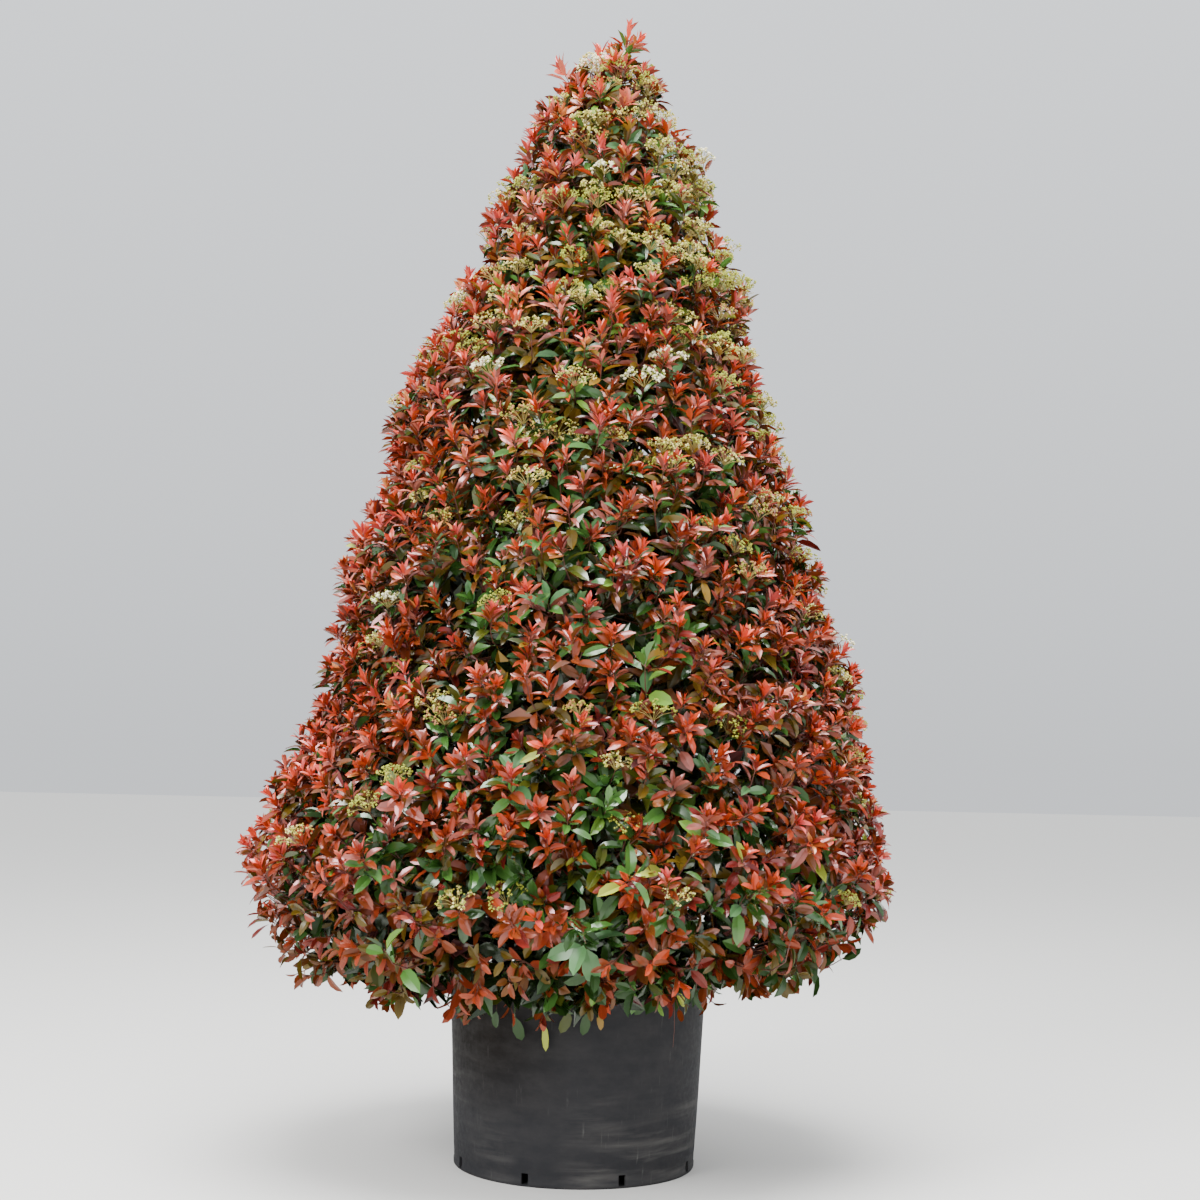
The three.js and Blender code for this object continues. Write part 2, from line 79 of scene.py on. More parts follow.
# Heights, in metres

SKIRT_TOP = 0.98  # shoots below it carry the skirt's leaves
HANGS_BELOW = 0.8  # leaves below it show their undersides
YOUNG_FROM = 1.35  # young leaves above it have a plainer pattern
CLIPPED_TO = 3.55  # leaves above it may pass the clipped outline

# Bumps on the crown: height, bearing, how far, how tall, how wide

SWELLS = [  # of its reach
    (0.6, pi, 0.09, 0.12, 0.9), (0.9, pi, 0.035, 0.2, 0.8), (1.5, pi, -0.07, 0.2, 0.8),
    (2.03, pi, 0.06, 0.12, 0.6), (2.5, pi, 0.05, 0.13, 0.6), (3.02, pi, -0.07, 0.07, 0.7),
    (0.6, 0, -0.11, 0.17, 0.9), (1.36, 0, 0.04, 0.1, 0.6), (1.62, 0, 0.055, 0.15, 0.7),
    (2.95, 0, 0.06, 0.12, 0.7), (3.33, 0.2, 0.075, 0.1, 0.9), (2.5, -2.2, 0.035, 0.2, 0.7),
    (1.3, 1.9, 0.045, 0.22, 0.8),
]
NUDGES = [  # of how far shoots stand back from it
    (1.42, 0, -0.05, 0.26, 0.7), (1.72, pi, 0.055, 0.34, 0.7), (2.97, pi, 0.035, 0.1, 0.7),
    (3.3, pi, 0.03, 0.1, 0.7), (0.8, pi, 0.045, 0.1, 0.8), (0.56, pi, -0.04, 0.06, 0.7),
]

# Tables: a height, and the value there

MIDDLE = [(0, 0), (1, -0.028), (2, -0.012), (3, 0.004), (3.57, 0.034), (HEIGHT, 0.11)]
RISE = [(0.48, -50), (0.6, -24), (0.75, -2), (0.95, 20), (1.4, 38), (2.2, 50), (3.2, 60), (3.7, 76)]
LEAF_LONG = [(0.5, 1.08), (0.9, 1.05), (1.2, 1), (1.6, 0.98), (2.2, 1.03), (3, 1.03), (3.8, 1.02)]
LEAF_WIDE = [(0.5, 1.2), (0.9, 1.1), (1.5, 1), (2.2, 0.87), (3.8, 0.82)]
FLOWERS = [(0.8, 0), (1.1, 0.05), (1.9, 0.095), (2.3, 0.15), (2.6, 0.24), (2.9, 0.4), (3.2, 0.54),
           (3.4, 0.48), (3.5, 0.34), (3.6, 0.3)]  # share of shoots with a flower head
GREENS = [(0.6, 0.02), (0.78, 0.02), (0.89, 0.16), (0.97, 0.54), (1.06, 0.5), (1.18, 0.16), (1.33, 0.17),
          (1.45, 0.14), (1.6, 0.22), (1.75, 0.38), (1.9, 0.24), (2.1, 0.08), (2.4, 0.05),
          (2.8, 0.05)]  # share of green shoots in front
HEM = [(-0.95, 0.57), (-0.8, 0.56), (-0.66, 0.5), (-0.42, 0.465), (0.05, 0.465), (0.14, 0.5), (0.3, 0.52),
       (0.5, 0.55), (0.76, 0.55), (0.88, 0.64)]  # by x: how low leaves hang

# Single things

LEADERS = np.array([(0.11, 0, HEIGHT), (0.004, 0.045, 3.735), (-0.138, -0.025, 3.662),
                    (0.075, -0.09, 3.64), (0.045, 0.12, 3.61)])  # tips of the leading shoots
ROOTLET = np.array([(0.29, -0.36, 0.62), (0.306, -0.37, 0.53), (0.296, -0.375, 0.43)])  # over the pot's rim
LOWEST_OUT = 0.445  # how far from the middle the lowest leaves hang
LOWEST_COLOURS = ("yellow_green", "dark_green", "green", "olive", "ochre")
LOWEST = np.array([  # x, height, length, lean to the right, place in the colours above
    (-0.098, 0.512, 0.096, 0.06, 0), (-0.189, 0.524, 0.084, 0.22, 1), (-0.019, 0.548, 0.08, -0.35, 3),
    (0.028, 0.546, 0.078, -0.05, 1), (0.062, 0.54, 0.056, 0.3, 4), (0.167, 0.6, 0.07, 0.12, 2),
    (0.212, 0.582, 0.066, -0.45, 1), (-0.247, 0.535, 0.06, -0.1, 1), (-0.372, 0.545, 0.086, 0.2, 1),
    (-0.318, 0.56, 0.07, -0.3, 2), (0.33, 0.59, 0.074, 0.25, 1)])


# Small tools


def rgb(code):
    """An sRGB hex code as linear red, green, blue and alpha."""
    parts = [int(code[i : i + 2], 16) / 255 for i in (1, 3, 5)]
    return tuple(c / 12.92 if c <= 0.04045 else ((c + 0.055) / 1.055) ** 2.4 for c in parts) + (1,)


def unit(v):
    """Each vector over its own length."""
    return v / np.maximum(np.linalg.norm(v, axis=-1, keepdims=True), 1e-9)


def across(v, w):
    """The part of each vector v that is square to its unit vector w, made unit."""
    return unit(v - (v * w).sum(-1, keepdims=True) * w)


def outward(turn, up):
    """Unit directions from a bearing and a rise."""
    return np.stack([np.cos(turn) * np.cos(up), np.sin(turn) * np.cos(up), np.sin(up)], -1)


def between(ends, t):
    """From the first end at 0 to the second at 1."""
    return ends[0] + (ends[1] - ends[0]) * t


def climb(x, start, over):
    """From 0 at the start to 1 this much over it, or under it where that is negative."""
    return np.clip((x - start) / over, 0, 1)


def bearings(count):
    """Even bearings round the full turn."""
    return np.arange(count) * 2 * pi / count


def read_off(at, table):
    """A table's value at this height, straight between its rows."""
    return np.interp(at, *zip(*table))


def bend(a, b, c, count):
    """Points along the curve from a to c that heads for b first."""
    t = np.linspace(0, 1, count)[:, None]
    return (1 - t) ** 2 * a[:, None] + 2 * t * (1 - t) * b[:, None] + t**2 * c[:, None]


def bands(rings, sides):
    """Four-cornered faces between each closed ring of points and the next."""
    low, j = np.arange(rings - 1)[:, None] * sides, np.arange(sides)
    after = (j + 1) % sides
    return np.stack([low + j, low + after, low + sides + after, low + sides + j], -1).reshape(-1, 4)


def halves(quads):
    """Four-cornered faces as triangles."""
    return np.concatenate([quads[:, [0, 1, 2]], quads[:, [0, 2, 3]]])


def copies(faces, corners, count):
    """The faces of a small mesh with this many corners, for each of its copies."""
    return (faces + corners * np.arange(count)[:, None, None]).reshape(-1, 3)


def tubes(points, radii, sides):
    """Tubes along rows of points (N, K, 3) with radii (N, K), as points and triangles. Each ring stands
    square to the line between its neighbours."""
    n, k, _ = points.shape
    run = unit(np.gradient(points, axis=1))
    ref = np.where(np.abs(run[:, :1, 2:]) > 0.9, [[[1, 0, 0]]], [[[0, 0, 1]]])
    u = across(np.broadcast_to(ref, points.shape), run)
    v = np.cross(run, u)
    a = bearings(sides)
    ring = u[:, :, None] * np.cos(a)[:, None] + v[:, :, None] * np.sin(a)[:, None]
    verts = points[:, :, None] + radii[:, :, None, None] * ring
    return verts.reshape(-1, 3), copies(halves(bands(k, sides)), k * sides, n)


def feed(node, inputs):
    """The node with these inputs set to values or linked to sockets."""
    for key, value in inputs.items():
        if isinstance(value, bpy.types.NodeSocket):
            node.id_data.links.new(value, node.inputs[key])
        else:
            node.inputs[key].default_value = value
    return node


def add(tree, kind, x, y, inputs=None, **settings):
    """A new shader node of this kind, with its settings and inputs."""
    node = tree.nodes.new("ShaderNode" + kind)
    node.location = (x, y)
    for key, value in settings.items():
        setattr(node, key, value)
    return feed(node, inputs or {})


def material(name):
    """A new material with its nodes and the one that gives its look."""
    m = bpy.data.materials.new(name)
    m.use_nodes = True
    return m, m.node_tree, m.node_tree.nodes["Principled BSDF"]


def plain(name, code, roughness, specular=0.5, shine="#ffffff"):
    """A material of one colour and gloss all over, with the tint of its shine."""
    m, _, p = material(name)
    feed(p, {"Base Color": rgb(code), "Roughness": roughness, "Specular IOR Level": specular,
             "Specular Tint": rgb(shine)})
    m.diffuse_color = rgb(code)
    return m


def placed(name, data):
    """A new object in the scene, at the origin."""
    ob = bpy.data.objects.new(name, data)
    bpy.context.scene.collection.objects.link(ob)
    return ob


def piece(name, verts, faces, materials, which=None, smooth=True):
    """A mesh object at the origin from arrays of points and of three- or four-cornered faces."""
    me = bpy.data.meshes.new(name)
    verts = np.ascontiguousarray(verts, dtype=np.float32).reshape(-1, 3)
    faces = np.ascontiguousarray(faces, dtype=np.int32)
    count, corners = faces.shape
    me.vertices.add(len(verts))
    me.vertices.foreach_set("co", verts.ravel())
    me.loops.add(count * corners)
    me.loops.foreach_set("vertex_index", faces.ravel())
    me.polygons.add(count)
    me.polygons.foreach_set("loop_start", np.arange(0, count * corners, corners, dtype=np.int32))
    for m in materials:
        me.materials.append(m)
    if which is not None:
        me.polygons.foreach_set("material_index", np.ascontiguousarray(which, dtype=np.int32))
    me.polygons.foreach_set("use_smooth", np.full(count, smooth))
    me.update(calc_edges=True)
    me.validate()
    ob = placed(name, me)
    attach(ob, "root")
    return ob


# The crown's form


def bumped(total, z, bearing, bumps):
    """A field with bumps added, each dying away by the squares of the ways in height and bearing."""
    for height, turned, far, tall, wide in bumps:
        off = np.angle(np.exp(1j * (bearing - turned)))
        total += far * np.exp(-(((z - height) / tall) ** 2) - (off / wide) ** 2)
    return total


def reach(z, bearing):
    """How far leaf tips reach from the middle line: a power of the height left to the tip, an
    ellipse below the widest place, waves round it and a few swells."""
    z, bearing = np.broadcast_arrays(z, bearing)
    upper = CROWN_RADIUS * (np.maximum(0, HEIGHT - z) / (HEIGHT - WIDEST)) ** TAPER
    lower = CROWN_RADIUS * np.sqrt(np.maximum(0, 1 - ((WIDEST - z) / SKIRT_DROP) ** 2))
    even = np.where(z >= WIDEST, upper, lower)
    waves = 1 + 0.022 * np.sin(3 * bearing + z / 0.31) + 0.016 * np.sin(5 * bearing - z / 0.19)
    return even * waves + bumped(np.zeros_like(even), z, bearing, SWELLS)


def middle(z):
    """The crown's middle line, sideways."""
    return read_off(z, MIDDLE)


def trunk_x(z):
    """The stem's middle line: upright at the soil, then the crown's."""
    return middle(z) * climb(z, SOIL, 0.4)


def outside(p):
    """How far points are outside the reach of the leaf tips."""
    x = p[..., 0] - middle(p[..., 2])
    return np.hypot(x, p[..., 1]) - reach(p[..., 2], np.arctan2(p[..., 1], x))


def hem(x, y):
    """How low leaves may hang: a line by x, roughened by two waves."""
    return read_off(x, HEM) + 0.014 * np.sin(27 * x + 3 * y) + 0.01 * np.sin(61 * x - 17 * y)


def outline():
    """The crown's outline as radius and height, out under the skirt's foot and then up to the tip."""
    r = np.linspace(SKIRT_IN, SKIRT_FOOT, 12)
    under = np.stack([r, 0.505 + 0.07 * ((SKIRT_FOOT - r) / 0.23)], -1)
    z = np.concatenate([np.linspace(0.51, WIDEST, 60), np.linspace(1.01, HEIGHT - 0.1, 280)])
    side = np.stack([reach(z, pi / 2), z], -1)
    return np.concatenate([under, side[side[:, 0] > SKIRT_FOOT][:1], side[side[:, 0] > 0.05]])


def places(apart, inset=0):
    """Places all over the crown in even rows with some play, as height, bearing and the share of the
    reach at which they stand."""
    line = outline()
    run = np.concatenate([[0], np.cumsum(np.hypot(*np.diff(line, axis=0).T))])
    play, found = 0.35, []
    for row, start in enumerate(np.arange(0.3 * apart, run[-1], apart * 0.92)):
        around = 2 * pi * max(0.02, np.interp(start, run, line[:, 0]) - inset)
        count = max(3, round(around / apart))
        at = start + RNG.uniform(-play, play, count) * apart
        turn = (np.arange(count) + 0.5 * (row % 2) + RNG.uniform(-play, play, count)) * 2 * pi / count
        z = np.interp(at, run, line[:, 1])
        r = np.maximum(0.02, np.interp(at, run, line[:, 0]) - inset)
        most = reach(z, turn)
        share = np.where(z < 0.58, np.minimum(1, r / np.maximum(most, 1e-3)), 1 - inset / most)
        found.append(np.stack([z, turn, np.clip(share, 0.02, 1)], -1))
    return np.concatenate(found)


def in_front(turn, wide):
    """How much a bearing faces the photographed side."""
    return np.exp(-((np.angle(np.exp(1j * (turn + pi / 2))) / wide) ** 2))


def tufts(z, turn):
    """A field from -1 on tufts to 1 in the hollows between them, each about 0.15 m wide."""
    return np.sin(15 * turn + 2 * np.sin(5 * z)) * np.sin(23 * z + 2.5 * np.sin(4 * turn))


def leaf_pattern(stalk, foot, *widths):
    """A leaf's points, how far along and how far aside, its faces, and which points are the midrib's. The
    widths have three points each and are given as place along and half width."""
    last = 3 * len(widths)
    along = [0, 0, stalk, *np.repeat([place for place, _ in widths], 3), 1]
    aside = [-foot, foot, 0, *np.outer([half for _, half in widths], [-1, 0, 1]).ravel(), 0]
    faces = [(0, 1, 2), (2, 4, 3), (2, 5, 4)]
    for k in range(3, last, 3):
        faces += [(k, k + 1, k + 4), (k, k + 4, k + 3), (k + 1, k + 2, k + 5), (k + 1, k + 5, k + 4)]
    faces += [(last, last + 1, last + 3), (last + 1, last + 2, last + 3)]
    return np.array(along), np.array(aside), np.array(faces), (2, *range(4, last + 3, 3), last + 3)


FINE = leaf_pattern(0.11, 0.06, (0.31, 0.8), (0.58, 1), (0.85, 0.72))
YOUNG = leaf_pattern(0.1, 0.08, (0.42, 0.92), (0.76, 0.86))
COARSE = leaf_pattern(0.12, 0.05, (0.5, 1))


def leaf_points(root, axis, upper, length, width, fold, curl, twist, pattern):
    """Corners of leaves (N, K, 3): a stalk, then a blade in one to three widths to a point, folded up
    along its midrib, turned about it by an angle that grows along it, and bent back towards its tip by
    the square of the way along."""
    t, s = pattern[0][:, None], pattern[1][:, None]
    turn = twist[:, None, None] * t
    side, upper = np.cross(axis, upper)[:, None], upper[:, None]
    lean, up = side * np.cos(turn) + upper * np.sin(turn), upper * np.cos(turn) - side * np.sin(turn)
    long, half = length[:, None, None], width[:, None, None] / 2
    bent = curl[:, None, None] * t
    return (root[:, None] + axis[:, None] * long * t * (1 - 0.4 * bent**2) - upper * long * t * bent
            + lean * half * s + up * np.abs(s) * half * fold[:, None, None])


# Colours of the leaves: of the flush, its tips first, and of turning and mature ones

FLUSHED = {"coral": "#cb452d", "orange_red": "#b23f1c", "rose": "#bb4640", "blush": "#c76c57",
           "peach": "#c67a3f", "brick": "#883319", "rust": "#6f3013", "crimson": "#692019",
           "rose_bronze": "#83483c", "bronze": "#5e3614"}
# The darkest green is an old leaf's own colour made darker still: painted shade for leaves deep inside and
# low in the crown.
AGED = {"ochre": "#87661f", "olive_bronze": "#52400f", "olive": "#3c4110", "deep_green": "#18240d",
        "dark_green": "#223c13", "green": "#41682a", "blue_green": "#486c42", "light_green": "#5f8030",
        "yellow_green": "#98a03a", "purple_brown": "#402020"}
LEAVES = {**FLUSHED, **AGED}
NAMES = list(LEAVES)
RED_SHINE, GREEN_SHINE = "#ffccd0", "#e6efe2"


def mixture(**shares):
    """Percentages of the named colours as shares, one for each place in NAMES."""
    found = np.array([shares.get(name, 0) for name in NAMES])
    return found / found.sum()


BRIGHT = mixture(coral=32, orange_red=30, rose=14, blush=6, peach=4, brick=14)
BRIGHT_LOW = mixture(coral=3, orange_red=32, rose=2, brick=40, rust=23)
BRIGHT_HIGH = mixture(coral=36, orange_red=10, rose=18, blush=26, peach=10)
FLUSH = mixture(brick=36, rust=22, orange_red=12, crimson=6, rose_bronze=12, bronze=12)
FLUSH_LOW = mixture(brick=19, rust=33, crimson=14, bronze=18, olive_bronze=16)
FLUSH_HIGH = mixture(orange_red=20, brick=22, rose=10, blush=12, peach=9, rose_bronze=23, ochre=4)
UNDER = mixture(rust=13, bronze=16, rose_bronze=4, ochre=3, olive_bronze=22, olive=15, green=13,
                dark_green=10, blue_green=4)
# Under-leaves high up, paler than UNDER: partly the upper crown's own colours, partly painted light where the
# thin top lets light in.
UNDER_HIGH_LIT = mixture(rust=13, bronze=13, rose_bronze=8, ochre=8, olive_bronze=18, olive=12, green=13,
                     blue_green=10, light_green=5)
UNDER_RED = mixture(rust=26, bronze=20, crimson=8, rose_bronze=8, olive_bronze=18, olive=6, dark_green=14)
UNDER_LOW = mixture(rust=24, bronze=20, crimson=6, olive_bronze=14, olive=8, dark_green=18, deep_green=10)
MATURE = mixture(green=36, dark_green=33, blue_green=20, light_green=2, olive=9)
# Mature leaves under the skirt, mostly in the darkest green: their own colours darkened as painted shade.
MATURE_LOW_SHADED = mixture(green=22, dark_green=65, olive=13)
ODD = mixture(yellow_green=22, ochre=12, light_green=18, crimson=22, purple_brown=18, peach=8)
INNER = mixture(deep_green=32, dark_green=14, olive=18, olive_bronze=20, bronze=16)
INNER_RED = mixture(deep_green=26, dark_green=10, olive=10, olive_bronze=20, bronze=20, purple_brown=14)
# Inner leaves low in the crown, almost all in the darkest green: painted shade.
INNER_LOW_SHADED = mixture(deep_green=68, dark_green=16, purple_brown=10, olive_bronze=6)
# Paler inner leaves high up: painted light, where the thin top lets light in.
INNER_HIGH_LIT = mixture(green=25, olive=35, olive_bronze=20, ochre=20)


def dealt(shares, *shape):
    """Random picks in these shares, as places in NAMES."""
    return RNG.choice(len(shares), size=shape, p=shares)


def lit_paleness(z, turn):
    """How far the paler mixtures of the upper crown have taken over: by height, partly the crown's own
    young colours and partly painted light where the thin top lets light in; sooner on the left, towards
    -X, as painted light on the lamp-lit side.
    """
    # Painted light: paler, pinker leaves on the lamp-lit left.
    left = 0.45 * np.clip(-np.cos(turn), 0, 1) * climb(z, 1.5, 0.5)
    return np.interp(z, [1.6, 2.3, 3.3], [0, 0.3, 1]) + left


def shades(pale_and_lit, count, low_mix, high_mix, spread):
    """Colours for a row of leaves on each shoot: one of its own, but for this spread of others from the
    same mixture and now and then an odd one. The first argument gives each shoot's share of the high
    mixture, whose paler colours are partly painted light."""
    m = len(pale_and_lit)
    high = RNG.random(m) < pale_and_lit
    own = np.where(high, dealt(high_mix, m), dealt(low_mix, m))
    other = np.where(high[:, None], dealt(high_mix, m, count), dealt(low_mix, m, count))
    other = np.where(RNG.random(other.shape) < 0.055, dealt(ODD, m, count), other)
    return np.where(RNG.random(other.shape) < spread, other, own[:, None])


# Growth of boughs and shoots

BRIGHT_ROLE, DULL_ROLE, GREEN_ROLE, FLOWER_ROLE, LEADING_ROLE = range(5)
DEPTHS = np.array([(-0.05, 0.03), (0.01, 0.085), (0.048, 0.13), (0, 0.045)])  # by role, inside the reach


def rise(z):
    """How steeply shoots rise at a height."""
    return np.radians(read_off(z, RISE))


def grow_boughs():
    """Boughs from the trunk to places inside the crown, each the foot of a spray of shoots."""
    z, turn, share = places(SPRAYS_APART, inset=0.27).T
    r = reach(z, turn) * share
    ends = np.stack([middle(z) + r * np.cos(turn), r * np.sin(turn), np.maximum(z - 0.06, 0.66)], -1)
    slope = np.tan(np.clip(rise(z), 0.15, 0.9))
    foot = np.clip(ends[:, 2] - r * slope, 0.64 + 0.12 * RNG.random(len(z)), 3.2)
    starts = np.stack([trunk_x(foot), np.zeros_like(foot), foot], -1)
    knees = starts + outward(turn, np.full_like(turn, 0.25)) * (0.5 * r)[:, None]
    return starts, knees, ends


def nearest(points, targets):
    """For each point, the closest target."""
    best = np.empty(len(points), dtype=int)
    for i in range(0, len(points), 512):
        gap = points[i : i + 512, None] - targets[None]
        best[i : i + 512] = (gap**2).sum(-1).argmin(1)
    return best


def leading_shoots():
    """Shoots that stand above the clipped outline, each with side shoots along it."""
    foot = np.array([middle(3.4), 0, 3.38])
    run = unit(LEADERS - foot)
    ends = LEADERS - run * 0.035
    at = RNG.uniform(0.35, 0.92, (len(LEADERS), 5, 1))  # five on each
    turn = RNG.uniform(0, 2 * pi, at.shape[:2])
    side = unit(run[:, None] + 0.9 * outward(turn, 0 * turn))
    side_ends = foot + (ends - foot)[:, None] * at + side * RNG.uniform(0.03, 0.075, at.shape)
    side_feet = foot + (ends - foot)[:, None] * (at - 0.12)
    tips = np.concatenate([ends, side_ends.reshape(-1, 3)])
    ways = np.concatenate([run, side.reshape(-1, 3)])
    feet = np.concatenate([np.repeat(foot[None], len(LEADERS), 0), side_feet.reshape(-1, 3)])
    return tips, ways, feet


def roles(z, turn):
    """What each shoot carries: a bright flush, a dull flush, green leaves only, or a flower head above
    green leaves. Flowers crowd the upper crown, and green shoots its lower front, right foot and hem;
    at the right foot, more green and fewer bright shoots are partly painted shade."""
    front = in_front(turn - np.interp(z, [0.95, 1.15], [0.25, 0]), np.interp(z, [0.95, 1.15], [0.85, 0.62]))
    bare_front = np.interp(z, [2.5, 3, 3.2, 3.3, 3.45], [0.1, 0.18, 0.6, 0.5, 0.35]) * in_front(turn, 0.65)
    side = 0.9 + np.interp(z, [2, 3.4], [0.35, 0.55]) * np.cos(turn + 0.35) - bare_front
    flower = read_off(z, FLOWERS) * side
    hollow = np.clip(tufts(z, turn), -0.5, 1)
    fringe = climb(z, 0.62, -0.08)
    green = 0.025 + 0.04 * np.clip(hollow, 0, 1) + 0.32 * fringe + 0.03 * climb(z, 0.9, -0.1)
    green = green + read_off(z, GREENS) * front * (0.7 + 1.4 * hollow)
    bright = np.interp(z, [0.55, 0.9, 1.1, 1.5, 2.6, 3.4], [0.08, 0.26, 0.36, 0.42, 0.52, 0.72])
    bright = bright - 0.16 * hollow + 0.34 * (1 - front) * (0.5 - 0.5 * np.cos(turn)) * climb(z, 0.9, 0.4)
    # More green and fewer bright shoots at the low right: partly the plant's own mix, partly painted shade
    # there.
    low_right_shade = np.clip(np.cos(turn), 0, 1) * climb(z, 0.95, -0.15)
    green, bright = green + 0.22 * low_right_shade, bright - 0.18 * low_right_shade
    return np.select([RNG.random(len(z)) < share for share in (flower, green, bright)],
                     [FLOWER_ROLE, GREEN_ROLE, BRIGHT_ROLE], DULL_ROLE)


def set_back(z, turn):
    """How far shoots stand back from the reach in patches between the sprays, most of all in front,
    and at places where the photo's two edges ask for a little more or less."""
    front = 0.2 + 0.8 * in_front(turn, 0.9)
    found = 0.14 * climb(tufts(z, turn), 0.1, 0.9) * front * climb(z, 3.4, -0.8)
    return bumped(found, z, turn, NUDGES)


def grow_shoots(sprays):
    """Shoots over the whole crown, in even rows, each bending out of the nearest spray's foot; then the
    leading shoots. Some are left out in the front's hollows and in the skirt. Bright shoots end up to
    0.05 m past the reach, the others up to 0.13 m inside it by what they carry, and none below the hem.
    Gives the three points of each shoot's bend, its height and its role."""
    z, turn, share = places(SHOOTS_APART).T
    hollow = np.clip(tufts(z, turn) + 0.2, 0, 1)
    gaps = np.interp(z, [0.9, 1.1, 1.85, 2.1], [0, 0.45, 0.45, 0]) * in_front(turn, 0.8)
    skirt = climb(z, 0.95, -0.15)
    kept = RNG.random(len(z)) > hollow * gaps + (0.32 + 0.8 * hollow) * skirt
    z, turn, share = z[kept], turn[kept], share[kept]
    role = roles(z, turn)
    upturn = np.interp(z, [0.6, 0.95, 3], [0, 0.36, 0.2])
    way = outward(turn + RNG.normal(0, 0.34, len(z)), rise(z) + upturn + RNG.normal(0, 0.24, len(z)))
    near, far = DEPTHS[role].T
    near = np.where((role == GREEN_ROLE) & (np.abs(z - 1.1) < 0.2), -0.01, near)
    deep = near + (far - near) * RNG.random(len(z)) + set_back(z, turn)
    r = reach(z, turn) * share
    tip = np.stack([middle(z) + r * np.cos(turn), r * np.sin(turn), z], -1) - way * (TIP_LEAF + deep)[:, None]
    tip[:, 2] = np.maximum(tip[:, 2], hem(tip[:, 0], tip[:, 1]) + 0.03)
    grown = tip, way, sprays[nearest(tip, sprays)]
    leading = leading_shoots()
    tip, way, foot = (np.concatenate(pair) for pair in zip(grown, leading))
    knee = tip - way * 0.5 * np.linalg.norm(tip - foot, axis=1, keepdims=True)
    lead_role = np.where(np.arange(len(leading[0])) < len(LEADERS), LEADING_ROLE, BRIGHT_ROLE)
    return (foot, knee, tip), np.concatenate([z, leading[0][:, 2]]), np.concatenate([role, lead_role])


bough_curve = grow_boughs()
shoots, shoot_z, role = grow_shoots(bough_curve[2])
n_shoots = len(shoot_z)


# Leaves: each set is a list of roots, axes, upper sides, lengths, widths, folds, curls, twists and colours


def along(curve, back):
    """Points and directions on shoots (M) this far back from their tips (M, K)."""
    foot, knee, tip = (c[:, None] for c in curve)
    length = np.linalg.norm(knee - foot, axis=-1) + np.linalg.norm(tip - knee, axis=-1)
    t = np.clip(1 - back / length, 0.03, 1)[..., None]
    point = (1 - t) ** 2 * foot + 2 * t * (1 - t) * knee + t**2 * tip
    return point, unit((1 - t) * (knee - foot) + t * (tip - knee))


def in_one_row(*rows):
    """Rows of leaves for each shoot as one row for all."""
    return [x.reshape(-1, *x.shape[2:]) for x in rows]


def golden(m, count, play):
    """Rows of bearings (M, count, 1) by the golden angle, each from a random start."""
    turns = RNG.uniform(0, 2 * pi, (m, 1)) + np.arange(count) * GOLDEN_ANGLE
    return (turns + RNG.normal(0, play, (m, count)))[..., None]


def whorl(rows, count, colour, lean, length, width, back, face_up=0, turned=0.3):
    """Leaves up the ends of these shoots by the golden angle, from steep young ones to open lower ones.
    Lean, length and back give the value at the tip and lower down, width the two ends of a spread over
    the length, and the share face_up turns their upper sides to the light. Low down they hang."""
    curve = tuple(c[rows] for c in shoots)
    z = shoot_z[rows][:, None]
    m = len(rows)
    t = (np.arange(count) + RNG.uniform(0.2, 0.8, (m, count))) / count
    hanging = climb(z, 1.1, -0.4)
    root, w = along(curve, between(back, t) * RNG.uniform(0.6, 1.7, (m, 1)) * (1 + 0.8 * hanging))
    tilt = between(lean, t**0.8)
    tilt = tilt * np.interp(z, [0.5, 1.2, 3.5], [1.12, 1, 0.82]) * RNG.uniform(0.76, 1.18, (m, 1))
    tilt = (tilt + RNG.normal(0, 1, (m, count)) * (0.15 + 0.12 * hanging))[..., None]
    a = golden(m, count, 0.25)
    u = across(np.broadcast_to([0.01, 0.02, 1], w.shape), w)
    side = np.cos(a) * u + np.sin(a) * np.cross(w, u)
    axis = np.cos(tilt) * w + np.sin(tilt) * side
    upper = np.sin(tilt) * w - np.cos(tilt) * side
    if face_up:
        light = unit(w * [0.9, 0.9, 0] + [0, 0, 0.75])
        upper = upper * (1 - face_up) + light * face_up
        axis = unit(axis - [0, 0, 0.3 * face_up])
    hanging = hanging * np.interp(z, [0.55, 0.75], [1.7, 1])
    axis = unit(axis - hanging[..., None] * [0, 0, 0.45])
    roll = RNG.normal(0, 0.25, (m, count, 1))
    upper = across(upper, axis)
    upper = upper * np.cos(roll) + np.cross(axis, upper) * np.sin(roll)
    size = RNG.uniform(0.84, 1.14, (m, 1)) * RNG.uniform(0.84, 1.14, (m, count))
    long = between(length, t) * size * read_off(z, LEAF_LONG)
    wide = long * RNG.uniform(*width, (m, count)) * read_off(z, LEAF_WIDE)
    fold = RNG.uniform(0.3, 0.95, (m, count)) * (1.1 - 0.4 * t) * (1 - 0.25 * np.minimum(hanging, 1))
    curl = RNG.uniform(0.1, 0.6, (m, count)) * (0.4 + 0.6 * t)
    return in_one_row(root, axis, upper, long, wide, fold, curl, RNG.normal(0, turned, (m, count)), colour)


def leafed(rows, count, low_mix, high_mix, spread, *form):
    """A whorl on these shoots, its colours dealt from the low and high mixtures."""
    return whorl(rows, count, shades(pale_and_lit[rows], count, low_mix, high_mix, spread), *form)


